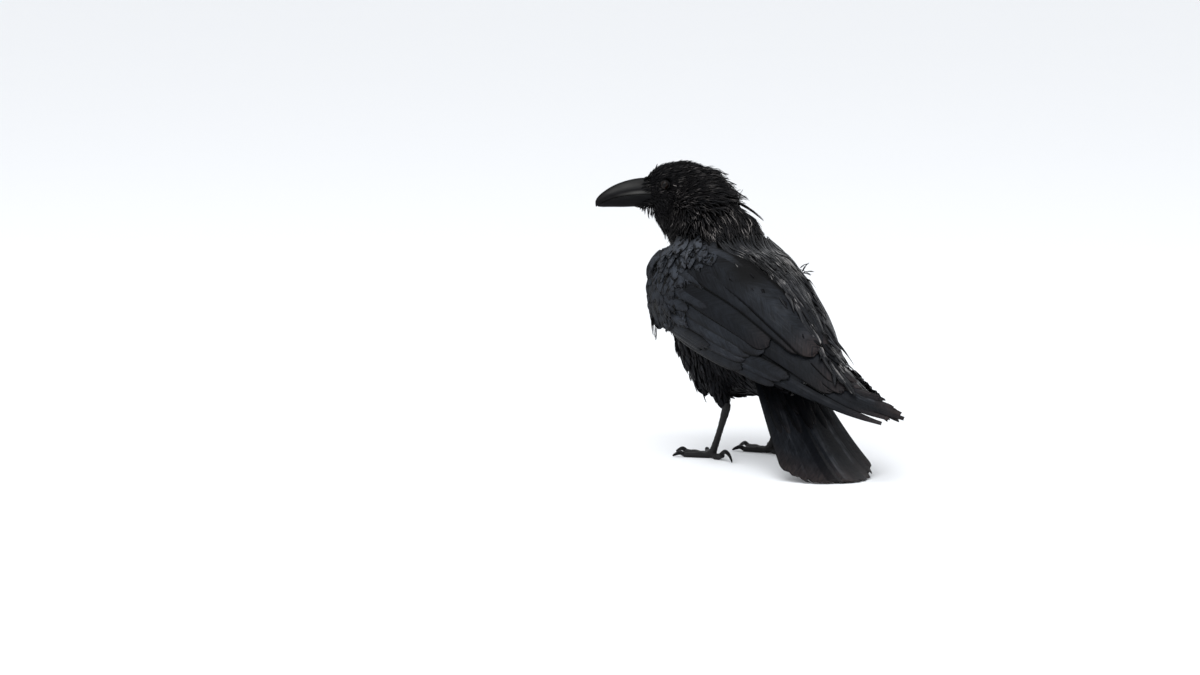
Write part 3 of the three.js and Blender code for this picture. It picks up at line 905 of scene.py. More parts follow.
class Coat:
    """One piece of plumage: sets of feathers gathered into a single mesh."""

    def __init__(self, name: str, seed: int) -> None:
        """Starts an empty piece.

        Args:
            name: the piece's name.
            seed: of its own small irregularities.
        """
        self.name = name
        self.rng = np.random.default_rng(seed)
        # points, one feather's faces, and each point's vane, tone and chart
        self.sets: list[tuple[Array, list[list[int]], Array, Array, Array]] = []

    def lay(self, plume: Plume, run: Run, floor: float | None = None) -> None:
        """Adds feathers of one form.

        Args:
            plume: their form.
            run: where they lie.
            floor: the lowest that any point may be, in millimetres.
        """
        shape = plume.template
        copies, stations = run.line.shape[:2]
        if not copies:
            return
        rng = self.rng
        columns = np.round(shape.across * 7 + 3 * shape.up).astype(int)
        cut = rng.random((copies, STRANDS))[:, columns % STRANDS]
        end_share = np.clip((shape.along - 0.55) / 0.45, 0, 1) ** 2
        u = shape.along * (1 - plume.fray * cut * end_share)
        place = u * (stations - 1)
        at = np.minimum(place.astype(int), stations - 2)
        part = (place - at)[..., None]
        rows = np.arange(copies)[:, None]
        step = run.line[rows, at + 1] - run.line[rows, at]
        slope = np.gradient(run.line, axis=1)
        ahead = unit(slope[rows, at] * (1 - part) + slope[rows, at + 1] * part)
        middle = run.line[rows, at] + step * part
        out = run.out[rows, at] * (1 - part) + run.out[rows, at + 1] * part
        beside = unit(np.cross(out, ahead))
        out = unit(np.cross(ahead, beside))
        half = 0.5 * run.width[:, None] * plume.width_at(u)
        across = np.broadcast_to(shape.across, u.shape)
        lean = 0 if run.lean is None else run.lean[:, None] * (1 - across**2)
        sway = plume.sweep * np.sin(2 * np.pi * (u * 1.1 + rng.random((copies, 1)))) * u
        taper = np.minimum(1, 0.25 + 2.5 * (1 - u))
        rise = plume.camber * half * (1 - across**2) + shape.up * plume.thick * taper
        points = middle + beside * ((across + lean) * half + sway)[..., None] + out * rise[..., None]
        if floor is not None:
            points[..., 2] = np.maximum(points[..., 2], floor)
        reach = np.linalg.norm(np.diff(run.line, axis=1), axis=2).sum(1)[:, None]
        vane = np.stack([u * reach, across, half], axis=-1)
        shade = np.broadcast_to(rng.random((copies, 1)), u.shape)
        wet = np.broadcast_to(run.wet[:, None], u.shape)
        tone = np.stack([shade, wet, np.broadcast_to(shape.along, u.shape)], axis=-1)
        patch = np.stack([np.broadcast_to(shape.along - 0.5, u.shape), across * 0.5], axis=-1)
        chart = np.clip(run.chart, 0, 1)[:, None, :] * (1 - PATCH) + PATCH * (patch + 0.5)
        self.sets.append((points, shape.faces, vane, tone, chart))

    def make(self, shop: Workshop, material: Material, nodes: Sequence[str] = ()) -> None:
        """Joins the sets into the finished piece.

        Args:
            shop: places it in the frame.
            material: its finish.
            nodes: the solids it stands for.
        """
        meshes = []
        for points, faces, vane, tone, chart in self.sets:
            mesh = tiled_mesh(self.name, shop.to_frame(points), faces)
            set_attribute(mesh, "vane", vane)
            set_attribute(mesh, "tone", tone)
            set_uv(mesh, chart)
            meshes.append(mesh)
        whole = meshes[0] if len(meshes) == 1 else joined(self.name, meshes)
        shop.finish(whole, material, Slot.PLUMAGE, nodes)


# ---------------------------------------------------------------- the body under the coat


@dataclass(frozen=True)
class Guide:
    """What the coat is like at one place of the body."""

    at: Array
    lie: Array  # the way its feathers point
    depth: float  # of the coat over the skin
    length: float  # of a feather
    width: float


# What the coat is like here and there: the place, the way the feathers point, depth, length and width.
HEAD_COAT = (  # in the head's own terms, its left half
    ((36, 0, 14), (-1, 0, 0.35), 1.8, 8, 1.6),
    ((34, 12, -2), (-1, 0.1, 0.05), 1.5, 6, 1.4),
    ((22, 0, 27), (-1, 0, 0.25), 2.6, 10, 2.0),
    ((0, 0, 30), (-1, 0, 0.02), 3.0, 12, 2.3),
    ((0, 17, 22), (-1, 0, 0), 3.0, 12, 2.2),
    ((-28, 0, 22), (-0.9, 0, -0.35), 5.0, 18, 2.6),
    ((-50, 0, 0), (-0.7, 0, -0.7), 7.0, 25, 3.0),
    ((12, 24, 0), (-1, 0, -0.05), 2.2, 8, 1.6),
    ((-10, 27, -6), (-0.95, 0, -0.3), 3.5, 13, 2.1),
    ((18, 19, -26), (-0.85, 0, -0.45), 2.8, 10, 1.8),
    ((29, 0, -30), (-0.8, 0, -0.6), 2.4, 9, 1.7),
    ((8, 0, -58), (-0.25, 0, -1), 5.5, 22, 3.0),
    ((-22, 29, -30), (-0.65, 0, -0.8), 5.5, 20, 2.8),
    ((-62, 12, -22), (-0.75, 0.1, -0.6), 14.0, 26, 3.0),
    ((-66, 14, -38), (-0.7, 0.1, -0.7), 13.0, 27, 3.0),
)
BODY_COAT = (  # the left half of neck and trunk
    ((0, -98, 250), (0, 0.05, -1), 7.5, 27, 3.6),
    ((44, -64, 252), (0.1, 0.25, -1), 6.0, 16, 2.6),
    ((0, 2, 262), (0, 0.75, -0.7), 7.5, 27, 3.4),
    ((34, -20, 258), (0.1, 0.65, -0.75), 7.0, 18, 2.8),
    ((0, -122, 214), (0, 0.2, -1), 8.0, 30, 8.0),
    ((0, -92, 150), (0, 0.5, -0.9), 8.0, 34, 10.0),
    ((0, -24, 96), (0, 0.85, -0.5), 8.0, 38, 11.0),
    ((2, 45, 72), (0, 0.95, -0.3), 7.0, 42, 11.0),
    ((8, 100, 66), (0.1, 0.85, -0.5), 4.0, 46, 12.0),
    ((62, -60, 160), (0, 0.35, -1), 8.0, 38, 9.0),
    ((50, -24, 104), (0, 0.25, -1), 7.0, 42, 7.0),
    ((0, 16, 250), (0, 0.85, -0.55), 6.5, 34, 5.0),
    ((42, 16, 236), (0.1, 0.85, -0.5), 6.0, 36, 6.0),
    ((0, 66, 216), (0, 0.85, -0.5), 5.5, 42, 7.0),
    ((0, 130, 164), (0, 0.8, -0.6), 4.5, 44, 8.0),
    ((4, 168, 122), (0.1, 0.7, -0.7), 2.5, 46, 9.0),
)
THIGH_COAT = (  # out from, behind and above the foot; all point down and a little back
    ((6, 4, 104), 4.5, 24, 5.0),
    ((3, 16, 84), 3.0, 18, 4.0),
    ((1, 27, 60), 0.9, 11, 2.6),
)


def mirrored(
    rows: Sequence[tuple], aside: int, place: Callable[..., Array], way: Callable[..., Array],
) -> list[Guide]:
    """Guides from one half's rows, each with its mirror image unless it lies in the middle.

    Args:
        rows: places, lies and sizes.
        aside: which number of a place and of a lie points aside.
        place: turns three numbers into a point.
        way: turns three numbers into a direction.

    Returns:
        The guides.
    """
    guides = []
    for at, lie, *sizes in rows:
        for sign in (1, -1) if at[aside] else (1,):
            flip = np.ones(3)
            flip[aside] = sign
            guides.append(Guide(place(*(flip * at)), way(*(flip * lie)), *sizes))
    return guides


class Lie:
    """How the whole coat lies: a smooth field between the guides."""

    blur = 30.0  # square millimetres within which a guide doesn't gain weight
    fall = 2.2  # how fast a guide's weight falls with the square of its distance

    def __init__(self) -> None:
        """Gathers the guides of head, neck, trunk and legs."""
        guides = mirrored(HEAD_COAT, 1, on_head, head_way) + mirrored(BODY_COAT, 0, plain, plain)
        for side in Side:
            x, y = FOOT_PLACE[side.word]
            for (out, back, rise), *sizes in THIGH_COAT:
                guides.append(Guide(plain(x + side.value * out, y + back, rise), plain(0, 0.25, -1), *sizes))
        self.places = np.array([g.at for g in guides])
        self.facts = np.array([[*unit(g.lie), g.depth, g.length, g.width] for g in guides], float)

    def read(self, places: Array) -> Array:
        """The coat at some places.

        Args:
            places: points of the body.

        Returns:
            For each point the lie's three numbers, the depth, the length and the width.
        """
        far = ((places[:, None, :] - self.places) ** 2).sum(-1)
        weight = 1 / (far + self.blur) ** self.fall
        return (weight @ self.facts) / weight.sum(1, keepdims=True)


OVERSOWN = 6  # random points to a square of the wanted spacing, before they are thinned


class Ground:
    """A surface to lay feathers on, with its points, triangles and a quick way to the nearest point."""

    def __init__(self, points: Array, triangles: Array) -> None:
        """Builds the search tree.

        Args:
            points: the surface's vertices in the bird's frame.
            triangles: three vertex numbers each.
        """
        self.corners = points[triangles]
        turned = np.cross(self.corners[:, 1] - self.corners[:, 0], self.corners[:, 2] - self.corners[:, 0])
        self.area = 0.5 * np.linalg.norm(turned, axis=1)
        self.middles = self.corners.mean(1)
        self.ways = unit(turned)
        self.tree = BVHTree.FromPolygons(points.tolist(), triangles.tolist())

    def nearest(self, places: Array) -> tuple[Array, Array, Array]:
        """The surface's nearest points, the way out there, and how far off they are.

        Args:
            places: points on or off the surface.

        Returns:
            Points, ways and distances, a row for each place.
        """
        found = [self.tree.find_nearest(Vector(p)) for p in places.tolist()]
        at = np.array([f[0] for f in found])
        out = np.array([f[1] for f in found])
        return at, out, np.array([f[3] for f in found])

    def scatter(self, spacing: Array, rng: Generator) -> Array:
        """Random points, several to each square of the spacing.

        Args:
            spacing: wanted at each triangle, or 0 where no point falls.
            rng: for the points.

        Returns:
            The points.
        """
        weight = np.where(spacing > 0, self.area / np.maximum(spacing, 1e-6) ** 2, 0)
        count = int(OVERSOWN * weight.sum())
        tri = self.corners[rng.choice(len(weight), count, p=weight / weight.sum())]
        one, two = rng.random((2, count, 1))
        fold = np.sqrt(one)
        return (1 - fold) * tri[:, 0] + fold * (1 - two) * tri[:, 1] + fold * two * tri[:, 2]


def thinned(places: Array, spacing: Array) -> Array:
    """Numbers of the points that keep their own spacing from each other, in the order given.

    Args:
        places: the points.
        spacing: the least gap round each of them.

    Returns:
        The numbers.
    """
    cell = float(spacing.max())
    grid: dict[tuple[int, int, int], list[int]] = {}
    keys = np.floor(places / cell).astype(int)
    kept: list[int] = []
    around = [(i, j, k) for i in (-1, 0, 1) for j in (-1, 0, 1) for k in (-1, 0, 1)]
    rows, gaps = places.tolist(), (spacing**2).tolist()
    for number, (x, y, z) in enumerate(keys.tolist()):
        px, py, pz = rows[number]
        gap = gaps[number]
        crowded = False
        for i, j, k in around:
            for other in grid.get((x + i, y + j, z + k), ()):
                qx, qy, qz = rows[other]
                if (px - qx) ** 2 + (py - qy) ** 2 + (pz - qz) ** 2 < gap:
                    crowded = True
                    break
            if crowded:
                break
        if not crowded:
            grid.setdefault((x, y, z), []).append(number)
            kept.append(number)
    return np.array(kept, int)


@dataclass
class Body:
    """The skin under the coat, and the smooth ground that its feathers lie on."""

    voxel: float = 2.2
    coarser: float = 1.2  # added to the voxel where hollows are bridged
    bridge: float = 14.0  # half the width of the hollows that the mantle hides
    smoothing: int = 14
    seam: float = 0.35  # how far the solids swell to close the cuts between them
    flesh: tuple[str, ...] = ("head", "neck", "trunk", "thigh_left", "thigh_right")
    lie: Lie = field(default_factory=Lie)

    def surface(
        self, shop: Workshop, nodes: Sequence[str], bridge: float = 0.0,
    ) -> tuple[Array, Array, Array]:
        """One smooth closed surface round some solids.

        Args:
            shop: turns the frame's metres into the bird's millimetres.
            nodes: the solids.
            bridge: how far to swell and shrink again, so that hollows narrower than twice that close.

        Returns:
            Vertices, triangles and outward directions.
        """
        bm = bmesh.new()
        for node in nodes:
            bm.from_mesh(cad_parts[node].data)
        bmesh.ops.remove_doubles(bm, verts=bm.verts[:], dist=1e-6)
        bm.normal_update()
        for vertex in bm.verts:
            vertex.co += vertex.normal * self.seam * MM
        helper = in_scene("rough", from_bmesh(bm, "rough"))
        steps = [0.0, bridge, -bridge] if bridge else [0.0]
        for reach in steps:
            if reach:
                swell = helper.modifiers.new("Displace", "DISPLACE")
                swell.mid_level = 0.0
                swell.strength = reach * MM
            remesh = helper.modifiers.new("Remesh", "REMESH")
            remesh.mode = "VOXEL"
            remesh.voxel_size = (self.voxel + (self.coarser if bridge else 0.0)) * MM
        smooth = helper.modifiers.new("Smooth", "SMOOTH")
        smooth.factor = 0.5
        smooth.iterations = self.smoothing // 3 if bridge else self.smoothing
        graph = bpy.context.evaluated_depsgraph_get()
        mesh = bpy.data.meshes.new_from_object(helper.evaluated_get(graph))
        bpy.data.objects.remove(helper)
        mesh.calc_loop_triangles()
        places = threes(mesh.vertices, "co", np.float32).astype(float)
        normals = threes(mesh.vertices, "normal", np.float32).astype(float)
        triangles = threes(mesh.loop_triangles, "vertices", np.int32)
        bpy.data.meshes.remove(mesh)
        return shop.from_frame(places), triangles, normals

    def build(self, shop: Workshop) -> None:
        """Makes the skin's surface and the feathers' two grounds, the close one and the mantle's.

        Args:
            shop: turns the frame's metres into the bird's millimetres.
        """
        winged = (*self.flesh, "wing_left", "wing_right")
        points, triangles, normals = self.surface(shop, self.flesh)
        depth = self.lie.read(points)[:, 3:4]
        self.skin_points = points - normals * depth
        self.skin_triangles = triangles
        bare = Ground(points, triangles)
        points, triangles, normals = self.surface(shop, winged)
        depth = self.lie.read(points)[:, 3:4]
        _, _, off = bare.nearest(points)
        on_wing = np.clip((off[:, None] - 0.6) / 2.5, 0, 1)  # 0 on the body, 1 on a wing
        self.ground = Ground(points - normals * (depth * (1 - on_wing) - 0.3 * on_wing), triangles)
        self.bodily = on_wing[:, 0][triangles].max(1) < 0.5
        points, triangles, normals = self.surface(shop, winged, self.bridge)
        # the mantle's height over the bridged solids, which is less behind the far wing and none on the neck
        over = np.interp(points[:, 0], (-50, -24, 0, 24), (0.6, 0.6, 0.4, 3.4))
        over -= 7.5 * np.clip((points[:, 1] - 106) / 50, 0, 1) * np.clip((-points[:, 0] - 4) / 18, 0, 1)
        over = (over * np.clip(of_neck(points) / 30, 0, 1))[:, None]
        self.mantle = Ground(points + normals * over, triangles)

    def make_skin(self, shop: Workshop, material: Material) -> None:
        """Makes the skin a piece, with the lids joined to it.

        Args:
            shop: places it in the frame.
            material: its finish.
        """
        mesh = tiled_mesh("skin", shop.to_frame(self.skin_points)[None], self.skin_triangles.tolist())
        bm = bmesh.new()
        bm.from_mesh(mesh)
        for side in Side:
            Eye(side).add_lids(bm, shop)
        bm.to_mesh(mesh)
        bm.free()
        shop.finish(mesh, material, Slot.PLUMAGE, self.flesh)

    def march(
        self, ground: Ground, roots: Array, length: Array, stations: int, turn: Array, rise: Array,
    ) -> tuple[Array, Array]:
        """Lays lines over the ground, each following the lie of the coat.

        Args:
            ground: what they lie on.
            roots: where the lines start.
            length: of each line.
            stations: how many points each has.
            turn: radians by which each leaves the lie.
            rise: how far each tip stands over the ground.

        Returns:
            The lines' points and the way out at each.
        """
        at, out, _ = ground.nearest(roots)
        line, ways = [at], [out]
        for _ in range(stations - 1):
            lie = self.lie.read(at)[:, :3]
            flat = unit(lie - out * (lie * out).sum(1, keepdims=True))
            beside = np.cross(out, flat)
            heading = flat * np.cos(turn)[:, None] + beside * np.sin(turn)[:, None]
            at, out, _ = ground.nearest(at + heading * (length / (stations - 1))[:, None])
            line.append(at)
            ways.append(out)
        points, outs = np.stack(line, 1), np.stack(ways, 1)
        share = np.linspace(0, 1, stations)
        lift = rise[:, None] * (0.08 + 0.92 * share**0.8)
        return points + outs * lift[..., None], outs


def head_terms(places: Array) -> tuple[Array, Array, Array]:
    """How far places are ahead of, left of and above the head's centre."""
    off = places - HEAD_CENTRE
    return off @ HEAD_AHEAD, off @ HEAD_LEFT, off @ HEAD_UP


def of_neck(places: Array) -> Array:
    """Millimetres that places are under the cut between neck and trunk; less than 0 is neck or head."""
    return (places - np.array([0.0, -26.0, 237.0])) @ unit(np.array([0.0, 0.42, -1.0]))


BODY_AXIS = SmoothLine([
    on_head(44, 0, -8), on_head(10, 0, -6), (0, -60, 272), (0, -34, 236), (0, -10, 175), (2, 50, 140),
    (6, 100, 104), (11, 140, 70),
])


def unwrap(places: Array) -> Array:
    """The place of each point on an unwrap of the body: round its axis and along it.

    Args:
        places: points on or near the body.

    Returns:
        A pair from 0 to 1 for each point.
    """
    t = np.linspace(0, 1, 160)
    axis, ahead = BODY_AXIS.at(t), BODY_AXIS.tangent(t)
    near = ((places[:, None, :] - axis) ** 2).sum(-1).argmin(1)
    off = places - axis[near]
    beside = unit(np.cross(ahead[near], plain(0, 0.3, 1)))
    above = np.cross(beside, ahead[near])
    angle = np.arctan2((off * beside).sum(1), (off * above).sum(1))
    return np.stack([angle / (2 * np.pi) + 0.5, t[near]], axis=1)


@dataclass
class Tract:
    """A stretch of the coat whose feathers are of one form."""

    name: str
    plume: Plume
    inside: Callable[[Array, Array], Array]  # which points and outward directions belong to it
    spacing: float  # between roots, as a share of the feathers' length
    size: float = 1.0  # of its feathers against the guides'
    broad: float = 1.0  # of their width against the guides'
    rise: float = 1.0  # of their tips against the coat's depth
    stray: float = 0.18  # radians by which they leave the lie
    wet: float = 0.2
    over_wings: bool = False

    def feather(self, body: Body, coat: Coat) -> None:
        """Covers the tract.

        Args:
            body: what the feathers lie on.
            coat: the piece that they join.
        """
        rng = coat.rng
        ground = body.mantle if self.over_wings else body.ground
        own = self.inside(ground.middles, ground.ways)
        if not self.over_wings:
            own &= body.bodily
        gap = np.zeros(len(own))
        gap[own] = body.lie.read(ground.middles[own])[:, 4] * self.size * self.spacing
        roots = ground.scatter(gap, rng)
        facts = body.lie.read(roots)
        keep = thinned(roots, facts[:, 4] * self.size * self.spacing)
        roots, facts = roots[keep], facts[keep]
        some = len(roots)
        length = facts[:, 4] * self.size * rng.uniform(0.78, 1.2, some)
        width = facts[:, 5] * self.broad * rng.uniform(0.8, 1.2, some)
        rise = facts[:, 3] * self.rise * rng.uniform(0.7, 1.15, some)
        turn = rng.normal(0, self.stray, some)
        line, outs = body.march(ground, roots, length, 6, turn, rise)
        wet = np.clip(self.wet + rng.normal(0, 0.15, some), 0, 1)
        coat.lay(self.plume, Run(line, outs, width, unwrap(roots), wet))
        log.info("%s: %d feathers", self.name, some)


@dataclass(frozen=True)
class Spike:
    """A wet point of feathers that stands out of the coat, from its root to its tip."""

    root: Array
    tip: Array
    width: float = 3.0
    locks: int = 4
    spread: float = 1.6  # how far the locks part at the root, mm
    wet: float = 0.5

    def lay(self, coat: Coat, plume: Plume, out: Array) -> None:
        """Adds the spike to a coat as a few locks that meet at the tip.

        Args:
            coat: the piece that it joins.
            plume: the locks' form.
            out: the way out of the body there.
        """
        rng = coat.rng
        share = np.linspace(0, 1, 6)[None, :, None]
        start = self.root + rng.normal(0, self.spread, (self.locks, 3))
        end = self.tip + rng.normal(0, self.spread * 0.35, (self.locks, 3))
        end[0] = self.tip
        bend = out * np.sin(np.pi * share) * 0.06 * np.linalg.norm(self.tip - self.root)
        line = start[:, None, :] * (1 - share) + end[:, None, :] * share + bend
        outs = np.broadcast_to(unit(out), line.shape)
        width = np.full(self.locks, self.width) * rng.uniform(0.7, 1.1, self.locks)
        wet = np.full(self.locks, self.wet)
        coat.lay(plume, Run(line, outs, width, unwrap(start), wet))


# ---------------------------------------------------------------- wings


WING_EDGES = (  # lower edge, upper edge, bulge and thickness, from the bend to the tip
    ((78, -56, 148), (66, -60, 237), 11, 15),
    ((79, -18, 143), (54, -8, 245), 16, 12),
    ((72, 56, 122), (35, 62, 223), 14, 8),
    ((60, 120, 105), (18, 122, 177), 9, 6),
    ((47, 170, 94), (9, 164, 139), 5, 5),
    ((30, 226, 81), (7, 216, 105), 3, 4),
    ((15, 278, 71), (6, 269, 91), 1.5, 3.5),
    ((5, 312, 72), (5, 312, 80), 0.5, 3),
)
BEND_ROUND = 6.0  # how far the bend is rounded forwards
FAR_WING = (0.95, 0.72)  # the shares of the right wing that its feathers cover, along and across
FAR_WING_SUNK = (2.5, 5.5)  # how far they lie under its surface, in front and in addition behind


class WingSheet:
    """The outer surface of a folded wing: a runs from bend to tip, b from the lower to the upper edge.

    The right wing's feathers lie lower and in a narrower band, as the wet mantle hangs over more of it.
    """

    def __init__(self, side: Side) -> None:
        """Takes the edges that the solid is built on.

        Args:
            side: the side that the wing is on.
        """
        self.sign = np.array([side.value, 1, 1])
        self.size = (1.0, 1.0) if side is Side.LEFT else FAR_WING
        self.sunk = (0.0, 0.0) if side is Side.LEFT else FAR_WING_SUNK
        self.lower = SmoothLine([e[0] for e in WING_EDGES])
        self.upper = SmoothLine([e[1] for e in WING_EDGES])
        self.body = SmoothLine([(e[2], e[3], 0) for e in WING_EDGES])

    def _plain(self, a: Array, b: Array) -> Array:
        """Points of the left wing's sheet.

        Args:
            a: along the wing, from 0 at the shoulder to 1 at the tip.
            b: across it, from 0 at the lower edge to 1 at the upper.

        Returns:
            The points.
        """
        a, b = a * self.size[0], b * self.size[1]
        crown = np.maximum(0, 4 * b * (1 - b))
        low, high = self.lower.at(a), self.upper.at(a)
        along = unit(self.lower.tangent(a) + self.upper.tangent(a))
        out = unit(np.cross(along, high - low))
        out = out * np.where(out[..., :1] < 0, -1, 1)
        points = blend(low, high, b) + out * (self.body.at(a)[..., 0] * crown)[..., None]
        points[..., 1] -= BEND_ROUND * crown * np.maximum(0, 1 - a / 0.12) ** 2
        return points

    def out(self, a: Array, b: Array) -> Array:
        """The way out of the wing.

        Args:
            a: along the wing, from 0 at the shoulder to 1 at the tip.
            b: across it, from 0 at the lower edge to 1 at the upper.

        Returns:
            A way of length one for each point.
        """
        step = 0.01
        along = self._plain(np.minimum(1, a + step), b) - self._plain(np.maximum(0, a - step), b)
        up = self._plain(a, np.minimum(1, b + 0.1)) - self._plain(a, np.maximum(0, b - 0.1))
        out = unit(np.cross(along, up))
        return out * np.where(out[..., :1] < 0, -1, 1) * self.sign

    def at(self, a: Array, b: Array, height: Array) -> Array:
        """Points at a height over the wing, in millimetres.

        Args:
            a: along the wing, from 0 at the shoulder to 1 at the tip.
            b: across it, from 0 at the lower edge to 1 at the upper.
            height: over the sheet.

        Returns:
            The points.
        """
        front, behind = self.sunk
        height = np.asarray(height) - (front + behind * np.clip((a - 0.34) / 0.2, 0, 1))
        return self._plain(a, b) * self.sign + self.out(a, b) * height[..., None]

    def scale(self, a: Array, b: Array) -> tuple[Array, Array]:
        """Millimetres for a step of one in a and in b.

        Args:
            a: along the wing, from 0 at the shoulder to 1 at the tip.
            b: across it, from 0 at the lower edge to 1 at the upper.

        Returns:
            The two lengths at each point.
        """
        step = 0.01
        lo = np.clip(a - step, 0, 1)
        hi = np.clip(a + step, 0, 1)
        per_a = np.linalg.norm(self._plain(hi, b) - self._plain(lo, b), axis=-1) / (hi - lo)
        per_b = np.linalg.norm(self._plain(a, b + step) - self._plain(a, b - step), axis=-1) / (2 * step)
        return per_a, per_b


@dataclass(frozen=True)
class Rank:
    """A row of large feathers: their roots and tips as (a, b, height), from the first to the last."""

    count: int
    roots: tuple[tuple[float, float, float], ...]
    tips: tuple[tuple[float, float, float], ...]
    widths: tuple[float, float]  # of the first and the last
    stray: float = 0.02
    bow: float = 0.0  # how far the middle line bows, in b
    stations: int = 12
    wet: float = 0.25

    def run(self, sheet: WingSheet, rng: Generator) -> Run:
        """Where the row's feathers lie on a wing.

        Args:
            sheet: the wing's sheet.
            rng: for the strays.

        Returns:
            The run of feathers.
        """
        t = np.linspace(0, 1, self.count)
        roots, tips = SmoothLine(self.roots).at(t), SmoothLine(self.tips).at(t)
        roots[:, :2] += rng.normal(0, self.stray * 0.4, (self.count, 2))
        tips[:, :2] += rng.normal(0, self.stray, (self.count, 2)) * np.array([1, 1.4])
        share = np.linspace(0, 1, self.stations)[None, :, None]
        chart = roots[:, None, :] * (1 - share) + tips[:, None, :] * share
        chart[..., 1] += self.bow * np.sin(np.pi * share[..., 0])
        a, b, height = chart[..., 0], chart[..., 1], chart[..., 2]
        width = np.linspace(*self.widths, self.count) * rng.uniform(0.94, 1.06, self.count)
        place = np.stack([roots[:, 0], 0.1 + 0.8 * roots[:, 1]], axis=1)
        lean = np.full(self.count, -0.12)
        wet = np.full(self.count, self.wet) + rng.normal(0, 0.08, self.count)
        return Run(sheet.at(a, b, height), sheet.out(a, b), width, place, wet, lean)


